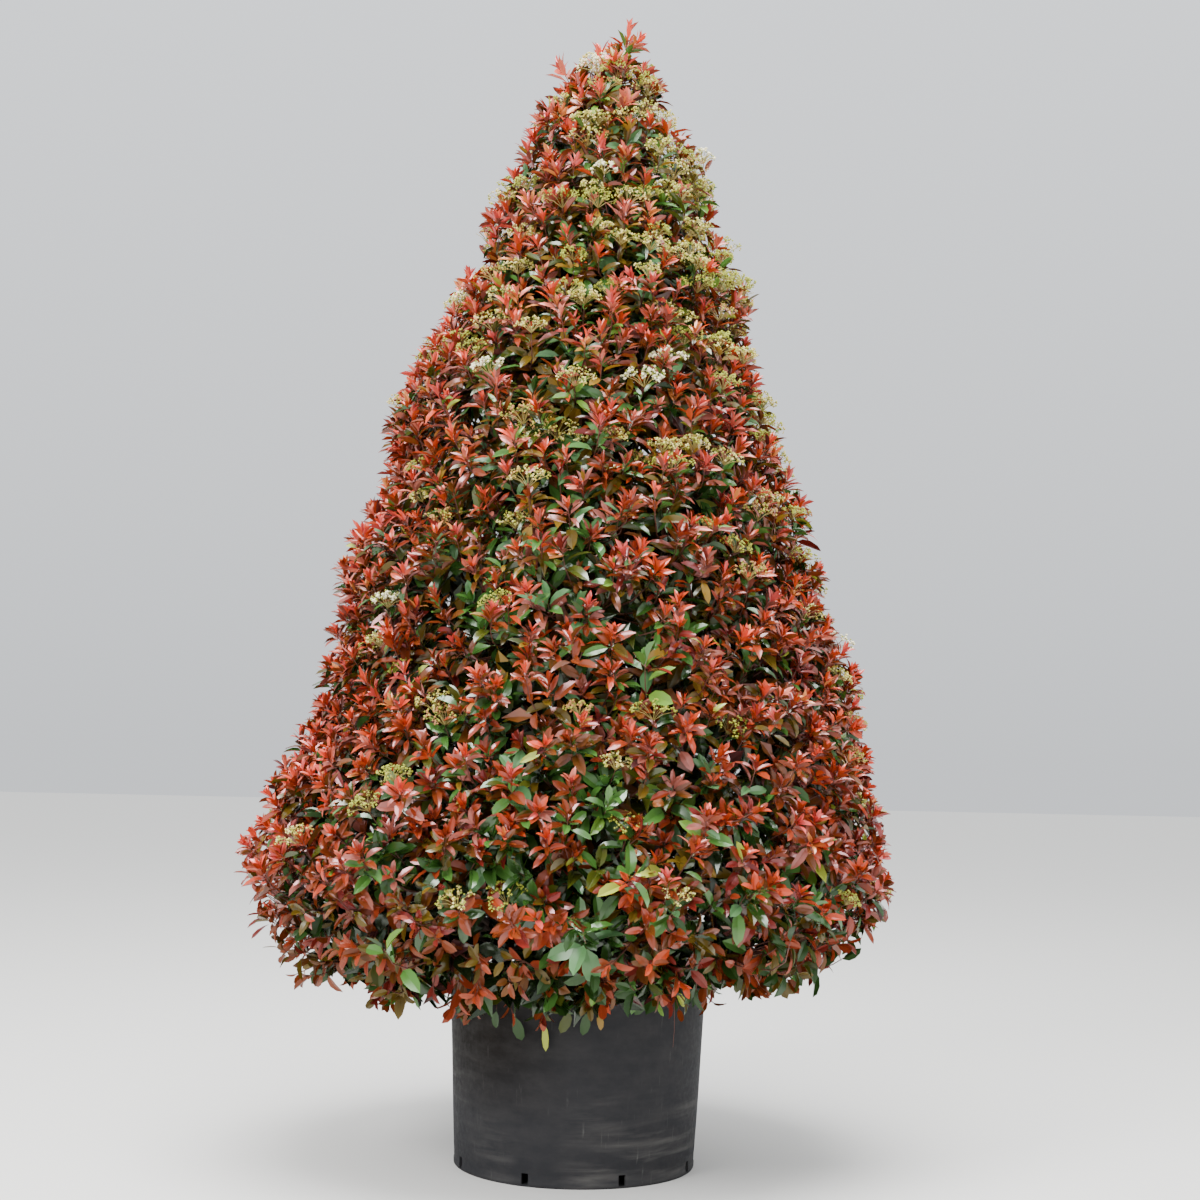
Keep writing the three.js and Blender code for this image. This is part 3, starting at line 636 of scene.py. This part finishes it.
def inner_leaves(middles, count, spread):
    """Large leaves scattered about these places, where they close the crown to the light."""
    m = len(middles)
    away = unit(RNG.normal(0, 1, (m, count, 3)))
    root = middles[:, None] + away * RNG.uniform(0.02, spread, (m, count, 1))
    axis = unit(away + [0, 0, -0.2])
    upper = across(RNG.normal(0, 1, (m, count, 3)) + [0, 0, 1.2], axis)
    long = RNG.uniform(0.095, 0.13, (m, count))
    none = 0 * long
    # Paler inner leaves high up and the darkest ones below 1 m: painted light and painted shade.
    colour = shades(lit_paleness(middles[:, 2], 0 * middles[:, 0]), count, INNER, INNER_HIGH_LIT, 0.8)
    colour = np.where(middles[:, 2:] < 1, dealt(INNER_LOW_SHADED, m, count), colour)
    return in_one_row(root, axis, upper, long, long * 0.46, none + 0.3, none + 0.15, none, colour)


bright, dull, green, flowering, leads = (np.flatnonzero(role == k) for k in range(5))
bearing = np.arctan2(shoots[2][:, 1], shoots[2][:, 0] - middle(shoot_z))
low = shoot_z < SKIRT_TOP
high_bright, high_dull, high_green = (x[~low[x]] for x in (bright, dull, green))
low_bright, low_dull, low_green = (x[low[x]] for x in (bright, dull, green))
# Each shoot's share of the paler mixtures, partly painted light.
pale_and_lit = lit_paleness(shoot_z, bearing)
redder = RNG.random(n_shoots) > in_front(bearing + 0.2, 0.85)
clothed = (role < GREEN_ROLE) & ~(low & (RNG.random(n_shoots) < 0.62))  # with darker leaves below the flush
side_red, front_red, low_red = (np.flatnonzero(clothed & x) for x in (redder & ~low, ~redder & ~low, low))
deep = (role < LEADING_ROLE) & (shoot_z < 3.5) & ~low
deep_side, deep_front, deep_low = (np.flatnonzero(x) for x in (deep & redder, deep & ~redder, low))

below_flush = (0.95, 1.35), (0.066, 0.086), (0.34, 0.42), (0.05, 0.13)
far_in = (0.9, 1.45), (0.085, 0.11), (0.38, 0.46), (0.13, 0.24)

# Which shoots, leaves on each, low and high mixture, spread, and what else whorl takes
young_sets = [leafed(*row) for row in (
    (high_bright, 6, BRIGHT, BRIGHT_HIGH, 0.3, (0.1, 0.5), (0.04, 0.056), (0.25, 0.32), (0, 0.012)),
    (high_bright, 8, FLUSH, FLUSH_HIGH, 0.35, (0.5, 1.15), (0.052, 0.07), (0.29, 0.36), (0.012, 0.045), 0.15),
    (high_dull, 9, FLUSH, FLUSH_HIGH, 0.3, (0.15, 1.1), (0.044, 0.068), (0.28, 0.36), (0, 0.045), 0.1),
    (leads, 6, BRIGHT, BRIGHT_HIGH, 0.3, (0.1, 0.5), (0.064, 0.076), (0.26, 0.32), (0, 0.012)),
    (leads, 6, BRIGHT, BRIGHT_HIGH, 0.3, (0.45, 1), (0.07, 0.082), (0.28, 0.34), (0.012, 0.05)),
    (leads, 8, FLUSH, UNDER_HIGH_LIT, 0.4, (0.7, 1.2), (0.064, 0.078), (0.3, 0.36), (0.05, 0.14)),
)]
leaf_sets = [leafed(*row) for row in (
    (low_bright, 5, BRIGHT_LOW, BRIGHT_LOW, 0.3, (0.2, 0.95), (0.046, 0.064), (0.3, 0.37), (0, 0.035)),
    (low_bright, 4, FLUSH_LOW, FLUSH_LOW, 0.35,
     (0.6, 1.25), (0.056, 0.074), (0.31, 0.38), (0.035, 0.1), 0.15),
    (low_dull, 7, FLUSH_LOW, FLUSH_LOW, 0.3, (0.25, 1.25), (0.05, 0.074), (0.31, 0.38), (0, 0.1), 0.1),
    (side_red, 5, UNDER_RED, UNDER_RED, 0.5, *below_flush, 0.3, 0.2),
    (front_red, 5, UNDER, UNDER_HIGH_LIT, 0.5, *below_flush, 0.4, 0.2),
    (low_red, 5, UNDER_LOW, UNDER_LOW, 0.5, *below_flush, 0.3, 0.2),
    # Green shoots under the skirt, in the darkest greens as painted shade.
    (low_green, 5, MATURE_LOW_SHADED, MATURE_LOW_SHADED, 0.3,
     (0.4, 1.25), (0.064, 0.094), (0.32, 0.39), (0, 0.06), 0.2, 0.15),
    (low_green, 4, MATURE_LOW_SHADED, MATURE_LOW_SHADED, 0.3,
     (1, 1.4), (0.076, 0.1), (0.33, 0.39), (0.06, 0.14), 0.4, 0.15),
    (high_green, 6, MATURE, MATURE, 0.25, (0.3, 1.15), (0.068, 0.1), (0.34, 0.41), (0, 0.04), 0.3, 0.15),
    (high_green, 5, MATURE, UNDER_HIGH_LIT, 0.3, (1, 1.4), (0.088, 0.112), (0.35, 0.41), (0.05, 0.14), 0.5, 0.15),
    (flowering, 7, MATURE, UNDER_HIGH_LIT, 0.4, (0.8, 1.35), (0.06, 0.084), (0.33, 0.4), (0.02, 0.11), 0.35, 0.2),
)]
core = np.zeros((60, 3))
core[:, 2] = np.linspace(0.85, 3.2, len(core))
core[:, 0] = trunk_x(core[:, 2])
deep_sets = [
    leafed(deep_side, 3, INNER_RED, INNER_RED, 0.8, *far_in, 0.4),
    # Low inner leaves in the darkest colours, as painted shade.
    whorl(deep_low, 3, dealt(INNER_LOW_SHADED, len(deep_low), 3), *far_in, 0.3),
    leafed(deep_front, 3, INNER, INNER_HIGH_LIT, 0.8, *far_in, 0.4),
    inner_leaves(bough_curve[2], 34, 0.2),
    inner_leaves(core, 50, 0.34),
]


def fits(points, inset):
    """Which leaves keep this far inside the reach, or with a negative inset pass it by less than this;
    inner leaves keep deeper in the skirt. All stay off the pot, above the hem and near the CAD's box."""
    top = points[..., 2].max(1)
    in_pot = np.hypot(points[..., 0], points[..., 1]) < POT_RIM + 0.003
    in_pot &= points[..., 2] < POT_HEIGHT + 0.003
    off_box = (points < BOX_MIN - BOX_ROOM) | (points > BOX_MAX + BOX_ROOM)
    x, y, z = points[:, 0].T
    kept_in = inset * np.interp(z, [1, 1.3], [1.7, 1]) if inset > 0 else inset
    beyond = (outside(points).max(1) > -kept_in) & ((top < CLIPPED_TO) | (inset > 0))
    hangs_low = points[..., 2].min(1) < hem(x, y) + max(0, inset)
    return ~(in_pot.any(1) | beyond | off_box.any((1, 2)) | (top > HEIGHT + 0.03) | hangs_low)


def joined(sets):
    """Sets of leaves as one set."""
    return [np.concatenate(x) for x in zip(*sets)]


def leaf_pieces(leaves, pattern, label, finish, inset=-0.055):
    """Leaves of one pattern as meshes by colour, each smooth, and creased down the midrib but for the
    young ones. Gives how many there are."""
    _, aside, faces, midrib = pattern
    *shape, colour = leaves
    points = leaf_points(*shape, pattern)
    keep = fits(points, inset)
    points, colour = points[keep], colour[keep]
    for i, name in enumerate(NAMES):
        mine = points[colour == i]
        parts = max(1, math.ceil(len(mine) * len(faces) / 190_000))
        for part, some in enumerate(np.array_split(mine, parts)):
            if len(some) == 0:
                continue
            tris = copies(faces, len(aside), len(some))
            ob = piece(f"{label}_{name}_{part + 1}", some, tris, [finish[name]])
            if pattern is not YOUNG:
                ends = np.empty(len(ob.data.edges) * 2, dtype=np.int32)
                ob.data.edges.foreach_get("vertices", ends)
                crease = np.isin(ends.reshape(-1, 2) % len(aside), midrib).all(1)
                ob.data.attributes.new("sharp_edge", "BOOLEAN", "EDGE").data.foreach_set("value", crease)
    return len(points)


def lowest_leaves():
    """Leaves that hang one by one over the pot's rim, upper sides outward, with the places of their
    colours and the three points of each stalk's bend."""
    x, z, length, lean, colour = LOWEST.T
    none = 0 * x
    root = np.stack([x, -np.sqrt(LOWEST_OUT**2 - x**2), z], -1)
    axis = unit(np.stack([lean, none - 0.08, none - 1], -1))
    upper = across(root * [1, 1, 0] + [0.1, 0, 0], axis)
    wide = length * np.where(colour == 0, 0.22, 0.42)  # the yellow one has rolled up
    points = leaf_points(root, axis, upper, length, wide, none + 0.4, none + 0.25, lean, FINE)
    stalk = (root * [0.85, 0.85, 1] + [0, 0, 0.11], root * [1.03, 1.03, 1] + [0, 0, 0.08], root)
    return points, colour.astype(int), stalk


# Photinia leaf, a thin blade grown with a waxy skin: its upper side mirrors the sky softly, pinkish where
# it is young and red. Leaves that hang show their duller lower side.
leaf_colours, hanging_colours = {}, {}
for name, code in LEAVES.items():
    shine = (0.72, GREEN_SHINE) if name in AGED else (0.88, RED_SHINE)
    leaf_colours[name] = plain("leaf_" + name, code, 0.19, *shine)
    hanging_colours[name] = plain("hanging_" + name, code, 0.3, 0.4, GREEN_SHINE)

young = joined(young_sets)
below = young[0][:, 2] < YOUNG_FROM
n_leaves = leaf_pieces([x[~below] for x in young], YOUNG, "young_leaves", leaf_colours)
lowest, lowest_colour, stalks = lowest_leaves()
ob = piece("lowest_leaves", lowest, copies(FINE[2], len(FINE[1]), len(LOWEST)),
           [hanging_colours[name] for name in LOWEST_COLOURS], np.repeat(lowest_colour, len(FINE[2])))
grown = joined([[x[below] for x in young]] + leaf_sets)
hangs = grown[0][:, 2] < HANGS_BELOW
n_leaves += leaf_pieces([x[~hangs] for x in grown], FINE, "leaves", leaf_colours)
n_leaves += leaf_pieces([x[hangs] for x in grown], FINE, "hem_leaves", hanging_colours)
n_deep = leaf_pieces(joined(deep_sets), COARSE, "inner_leaves", leaf_colours, inset=0.06)


# Twigs, boughs and trunk


def trunk():
    """The stem: an even taper, a flare that dies away above the soil, and shallow upright ridges of
    bark, deepest near its foot."""
    sides, rings, high = 28, 130, TRUNK_TIP_Z - SOIL
    z, a = np.meshgrid(SOIL + high * np.linspace(0, 1, rings) ** 1.2, bearings(sides), indexing="ij")
    ridge = (0.05 * np.sin(9 * a + 4 * np.sin(7 * z)) + 0.035 * np.sin(17 * a - 31 * z)
             + 0.16 * np.exp(-(z - SOIL) / 0.07) * np.cos(4 * a))
    taper = between((TRUNK_RADIUS, TRUNK_TIP_RADIUS), climb(z, SOIL, high))
    r = (taper + 0.024 * np.exp(-(z - SOIL) / 0.055)) * (1 + ridge)
    verts = np.stack([trunk_x(z) + r * np.cos(a), r * np.sin(a), z], -1)
    return verts.reshape(-1, 3), bands(rings, sides)


# Bark: young red-brown skin, matt and smooth, on the twigs; grey-brown cork, duller still, on older wood.
young_bark, old_bark = plain("young_bark", "#5a2f24", 0.6), plain("bough_bark", "#4a3a30", 0.8)

twig_points = 5
stems = np.concatenate([bend(*curve, twig_points) for curve in (shoots, ROOTLET[:, None], stalks)])
thinner = np.append(np.ones(n_shoots), np.full(1 + len(LOWEST), 0.55))  # the rootlet and leaf stalks
twig_radii = np.linspace(0.0036, 0.0015, twig_points) * thinner[:, None]
piece("twigs", *tubes(stems, twig_radii, 3), [young_bark])

bough_points = bend(*bough_curve, 10)
swing = RNG.normal(0, 0.012, bough_points.shape)
swing[:, [0, -1]] = 0
bough_radii = 0.006 + 0.01 * np.clip(np.linalg.norm(bough_curve[2] - bough_curve[0], axis=1), 0, 1)
bough_radii = bough_radii[:, None] * np.linspace(1, 0.38, 10)
piece("boughs", *tubes(bough_points + swing, bough_radii, 6), [old_bark])

ob = piece("stem", *trunk(), [old_bark])
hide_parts("trunk")


# Flower heads

OCTA = np.array([(1, 0, 0), (-1, 0, 0), (0, 1, 0), (0, -1, 0), (0, 0, 1), (0, 0, -1)], float)
OCTA_FACES = np.array([(0, 2, 4), (2, 1, 4), (1, 3, 4), (3, 0, 4),
                       (2, 0, 5), (1, 2, 5), (3, 1, 5), (0, 3, 5)])
BUDS = {"cream": "#ded286", "lime": "#a3a83a", "straw": "#bfa548", "tan": "#b07a4a", "olive": "#777c2c",
        "white": "#ece6c0"}
CREAM, LIME, STRAW, TAN, OLIVE_BUD, WHITE = range(6)


def flower_heads(rows, rays=12, buds=9):
    """Domed heads: rays from one point end even over the cap of a flattened ball, each in a small
    cluster of buds. Gives the buds' middles (M, rays * buds, 3) and the rays' points."""
    m = len(rows)
    foot, knee, tip = (c[rows] for c in shoots)
    w = unit(unit(tip - knee) * 0.6 + [0, 0, 0.4])
    u = across(np.broadcast_to([1, 0.02, 0.01], w.shape), w)
    v = np.cross(w, u)
    size = RNG.uniform(0.75, 1.2, (m, 1, 1))
    cap = 1 - math.cos(1.35)
    lean = np.arccos(1 - (np.arange(rays) + RNG.uniform(0.1, 0.9, (m, rays))) / rays * cap)[..., None]
    a = golden(m, rays, 0.3)
    out = (np.cos(a) * u[:, None] + np.sin(a) * v[:, None]) * np.sin(lean)
    ends = tip[:, None] + size * (w[:, None] * (0.016 + 0.032 * np.cos(lean)) + 0.052 * out)
    halfway = (tip[:, None] + ends) / 2 + w[:, None] * 0.006
    line = np.stack([np.repeat(tip[:, None], rays, 1), halfway, ends], 2)
    spread = unit(RNG.normal(0, 1, (m, rays, buds, 3)) + 0.7 * unit(ends - tip[:, None])[:, :, None])
    middles = ends[:, :, None] + spread * RNG.uniform(0.005, 0.0135, (m, rays, buds, 1)) * size[..., None]
    return middles.reshape(m, -1, 3), line.reshape(-1, 3, 3)


middles, rays = flower_heads(flowering)
on_left = shoots[2][flowering, 0] < 0
opened, tanned, limed = ((RNG.random(len(flowering)) < share)[:, None]
                         for share in (0.055, np.where(on_left, 0.3, 0.12), 0.4))
pick = RNG.random(middles.shape[:2])
kind = np.select([opened & (pick < 0.6), tanned & (pick < 0.5), limed & (pick < 0.55), pick > 0.84,
                  pick > 0.58, pick > 0.34], [WHITE, TAN, LIME, OLIVE_BUD, LIME, STRAW], CREAM)
bud_size = RNG.uniform(0.0025, 0.004, kind.shape) * np.where(kind == WHITE, 1.3, 1)
inside = outside(middles) < 0.035
# Flower bud and its stalk: soft and unwaxed, so matt.
for i, (name, code) in enumerate(BUDS.items()):
    mine = (kind == i) & inside
    verts = middles[mine][:, None] + OCTA * bud_size[mine][:, None, None]
    faces = copies(OCTA_FACES, len(OCTA), len(verts))
    piece("buds_" + name, verts, faces, [plain("bud_" + name, code, 0.55)], smooth=False)
verts, faces = tubes(rays, np.full(rays.shape[:2], 0.0011), 3)
piece("flower_stalks", verts, faces, [plain("flower_stalk", "#8b7a3c", 0.6)])


# Pot


def pot_material():
    """Black polypropylene, injection moulded: a dull satin skin with pale smudges, long flat arcs rubbed
    into its lower part, fine upright scratches and a brown tinge high at the left. The arcs are about
    0.4 m long and the scratches 10 mm apart."""
    m, t, p = material("pot_plastic")
    place = add(t, "TexCoord", -1700, 0).outputs["Object"]
    noise = {}
    for y, name, stretch, low, high, scale, detail, rough, warp in (
            (750, "smudges", (1, 1, 2.2), 0.4, 0.72, 9, 5, 0.65, 0),
            (500, "arcs", (1.1, 1.1, 10), 0.48, 0.76, 2.6, 6, 0.58, 0.35),
            (250, "patches", (1, 1, 1.6), 0.42, 0.66, 2.4, 2, 0.5, 0),
            (0, "scratches", (30, 30, 3), 0.66, 0.82, 3, 3, 0.5, 0),
            (-250, "grain", (1, 1, 1), 0.3, 0.7, 60, 6, 0.7, 0)):
        scaled = add(t, "Mapping", -1500, y, {"Vector": place, "Scale": stretch}).outputs["Vector"]
        texture = add(t, "TexNoise", -1300, y, {
            "Vector": scaled, "Scale": scale, "Detail": detail, "Roughness": rough, "Distortion": warp})
        noise[name] = add(t, "MapRange", -1100, y, {
            "Value": texture.outputs["Fac"], "From Min": low, "From Max": high}).outputs["Result"]
    split = add(t, "SeparateXYZ", -1300, -750, {"Vector": place}).outputs
    left, high_up, low_down = (
        add(t, "MapRange", -1100, y, {"Value": split[k], "From Min": low, "From Max": high}).outputs["Result"]
        for y, k, low, high in ((-950, "X", 0, -0.26), (-1150, "Z", 0.18, 0.42), (-750, "Z", 0.52, 0.05)))
    product = {}
    for x, y, name, a, b in ((-900, -950, "brown", left, high_up),
                             (-900, 400, "broken", noise["arcs"], noise["patches"]),
                             (-700, 400, "rubbed", "broken", low_down),
                             (-900, 0, "fine", noise["scratches"], noise["grain"]),
                             (-700, 0, "scored", "fine", 0.45),
                             (-700, -300, "smudged", noise["smudges"], 0.34)):
        node = add(t, "Math", x, y, {0: product.get(a, a), 1: b}, operation="MULTIPLY")
        product[name] = node.outputs[0]
    colour = rgb("#28282a")
    for x, y, share, over in ((-500, -300, "brown", "#171310"), (-300, -100, "smudged", "#3e3c3b"),
                              (-100, 0, "rubbed", "#575552"), (60, 0, "scored", "#75736f")):
        node = add(t, "Mix", x, y, {0: product[share], 6: colour, 7: rgb(over)}, data_type="RGBA")
        colour = node.outputs[2]
    gloss = add(t, "MapRange", -100, -400, {"Value": noise["grain"], "To Min": 0.55, "To Max": 0.8})
    feed(p, {"Base Color": colour, "Roughness": gloss.outputs["Result"], "Specular IOR Level": 0.1})
    return m


def wall(z):
    """The outer radius of the pot's wall, which widens evenly."""
    return POT_FOOT + POT_DRAFT * z


def pot():
    """The pot's wall turned from a profile in fine steps, up its outside, over the rolled rim and down
    inside to the floor, with drain notches cut through at its foot and a flat underside."""
    steps = 22  # from one notch to the next
    half = NOTCH_WIDE / 2 / POT_FOOT
    mid = 2 * pi * (np.arange(NOTCHES) + 0.5) / NOTCHES  # of each notch
    apart = 2 * pi / NOTCHES - 2 * half
    rest = (mid + half)[:, None] + apart * (np.arange(steps - 1) + 1) / steps
    a = np.concatenate([(mid - half)[:, None], (mid + half)[:, None], rest], 1).ravel()
    is_notch = np.arange(len(a)) % (steps + 1) == 0
    rim = POT_HEIGHT - RIM_HEIGHT
    outer = [(POT_FOOT + 0.0005, 0), (POT_FOOT + 0.002, 0.0025), (wall(0.006) + 0.002, 0.006),
             (wall(0.014) + 0.002, 0.014), (wall(0.017), 0.017), (wall(NOTCH_HIGH), NOTCH_HIGH)]
    outer += [(wall(z) + 0.0008 * math.sin(z * 9), z) for z in np.linspace(0.06, rim - 0.004, 24)]
    outer += [(wall(rim) + 0.001, rim), (wall(rim) + 0.006, rim + 0.002), (wall(rim) + RIM_OUT, rim + 0.006)]
    outer += [(wall(z) + RIM_OUT, z) for z in np.linspace(rim + 0.012, POT_HEIGHT - 0.006, 4)]
    top = wall(POT_HEIGHT)
    over = [(top + RIM_OUT - 0.0012, POT_HEIGHT - 0.002), (top + RIM_OUT - 0.004, POT_HEIGHT),
            (top - POT_WALL + 0.0015, POT_HEIGHT), (top - POT_WALL, POT_HEIGHT - 0.002)]
    inner = [(wall(z) - POT_WALL, z) for z in [*np.linspace(0.56, 0.08, 6), NOTCH_HIGH, 0.006]]
    line = np.array(outer + over + inner + [(0, 0.006)])
    r, z = line[:, 0][:, None], line[:, 1][:, None]
    dent = 0.0016 * np.sin(3 * a + 0.8) * np.sin(pi * np.clip(z / POT_HEIGHT, 0, 1))
    dent = dent + 0.0009 * np.sin(5 * a - 1.1 + 4 * z)
    r = np.where(r > 0.3, r + dent, r)
    verts = np.stack([r * np.cos(a), r * np.sin(a), np.broadcast_to(z, r.shape)], -1).reshape(-1, 3)
    rows, n = r.shape
    row = np.arange(rows - 1)[:, None]
    foot_row, top_row, inner_row = 2, 5, rows - 3  # of a notch outside, and of its top inside
    cut = is_notch & (((foot_row <= row) & (row < top_row)) | (row == inner_row))
    at = np.flatnonzero(is_notch)
    nx = (at + 1) % n
    foot_out, top_out, top_in, foot_in = (k * n for k in (foot_row, top_row, inner_row, inner_row + 1))
    notches = np.array([[top_in + at, top_in + nx, top_out + nx, top_out + at],
                        [foot_out + at, foot_out + nx, foot_in + nx, foot_in + at],
                        [top_out + at, foot_out + at, foot_in + at, top_in + at],
                        [top_in + nx, foot_in + nx, foot_out + nx, top_out + nx]]).transpose(2, 0, 1)
    quads = np.concatenate([bands(rows, n).reshape(rows - 1, n, 4)[~cut], notches.reshape(-1, 4)])
    j = np.arange(n)
    under = np.stack([np.full(n, len(verts)), (j + 1) % n, j], -1)
    return np.concatenate([verts, [[0, 0, 0]]]), np.concatenate([halves(quads), under])


ob = piece("nursery_pot", *pot(), [pot_material()])
ob.data.set_sharp_from_angle(angle=math.radians(35))
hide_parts("pot")


# Compost


def compost_material():
    """Peat compost, damp, so dark and quite matt, with paler bits of bark about 10 mm across."""
    m, t, p = material("compost_surface")
    place = add(t, "TexCoord", -900, 0)
    bits = add(t, "TexVoronoi", -700, 0, {"Vector": place.outputs["Object"], "Scale": 90})
    ramp = add(t, "MapRange", -480, 0, {"Value": bits.outputs["Distance"], "From Max": 0.7})
    mix = add(t, "Mix", -240, 0,
              {0: ramp.outputs["Result"], 6: rgb("#241a13"), 7: rgb("#4b382a")}, data_type="RGBA")
    feed(p, {"Base Color": mix.outputs[2], "Roughness": 0.95})
    return m


def compost():
    """A lumpy disc, a little higher at the stem and level at the wall."""
    n, rows = 96, 30
    r = np.linspace(0.02, POT_FOOT + POT_DRAFT * SOIL_EDGE - POT_WALL - 0.0008, rows)[:, None]
    a = bearings(n)
    z = SOIL_EDGE + 0.012 * (1 - r / r.max()) + 0.002 * np.sin(31 * r + 5 * a)
    z = z + 0.0015 * np.sin(9 * a - 47 * r) + RNG.normal(0, 0.0012, (rows, n))
    z = np.where(r > 0.39, np.minimum(z, 0.5565), z)
    return np.stack([r * np.cos(a), r * np.sin(a), z], -1).reshape(-1, 3), bands(rows, n)[:, [0, 3, 2, 1]]


ob = piece("compost_top", *compost(), [compost_material()])
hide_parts("compost")


# Camera, floor and light


def stand(name, data, right, up, back, place):
    """A camera or lamp in the scene, looking against its third axis."""
    ob = placed(name, data)
    m = np.eye(4)
    m[:3] = np.stack([right, up, back, place], -1)
    ob.matrix_world = Matrix(m.tolist())
    return ob


def camera():
    """The camera worked out from the photo: 6.14 m in front, 1.33 m up, tilted up and a little rolled.
    Its focal length is 1850 px of the photo's 1200."""
    pitch, roll, yaw = math.radians(4.65), math.radians(1.23), math.radians(0.43)
    ahead = np.array([math.sin(yaw) * math.cos(pitch), math.cos(yaw) * math.cos(pitch), math.sin(pitch)])
    level = unit(np.cross(ahead, [0, 0, 1]))
    above = np.cross(level, ahead)
    right = level * math.cos(roll) + above * math.sin(roll)
    up = -level * math.sin(roll) + above * math.cos(roll)
    data = bpy.data.cameras.new("camera")
    data.sensor_width = 36.0
    data.lens = 1850 / 1200 * data.sensor_width
    data.clip_end = 100
    return stand("camera", data, right, up, -ahead, (0, -6.14, 1.333))


def lamp(name, place, target, size, power, colour):
    """A round soft light at a place, facing a target."""
    data = bpy.data.lights.new(name, "AREA")
    data.shape = "DISK"
    data.size, data.energy, data.color = size, power, colour
    back = unit(np.subtract(place, target))
    right = across(np.array([1, 0.01, 0]), back)
    return stand(name, data, right, np.cross(back, right), back, place)


bpy.context.scene.camera = camera()
lights = [
    lamp("sky", (0, -2.5, 9.5), (0, 0, 1), 6, 1800, (0.97, 0.98, 1)),
    lamp("key", (-5, -6, 6.5), (0, 0, 1.8), 3.4, 980, (0.99, 0.99, 1)),
    lamp("fill", (6, -5, 5), (0, 0, 1.6), 3.5, 160, (0.97, 0.98, 1)),
]
half_floor = 40.0
me = bpy.data.meshes.new("floor")
me.from_pydata([(x * half_floor, y * half_floor, 0) for x, y in ((-1, -1), (1, -1), (1, 1), (-1, 1))], [],
               [(0, 1, 2, 3)])
me.materials.append(plain("floor_pale", "#d9d7d2", 0.9))
floor = placed("floor", me)

world = bpy.data.worlds.new("overcast")  # twice as bright overhead as at the horizon
world.use_nodes = True
t = world.node_tree
place = add(t, "TexCoord", -600, 0)
split = add(t, "SeparateXYZ", -420, 0, {"Vector": place.outputs["Generated"]})
glow = add(t, "MapRange", -240, 0, {"Value": split.outputs["Z"], "To Min": 1, "To Max": 2.05})
feed(t.nodes["Background"], {"Color": (0.88, 0.91, 0.95, 1), "Strength": glow.outputs["Result"]})
bpy.context.scene.world = world

# The leaves stand in for the solids of the masses.
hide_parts("foliage_skirt", "foliage_lower", "foliage_middle",
            "foliage_upper", "foliage_top")
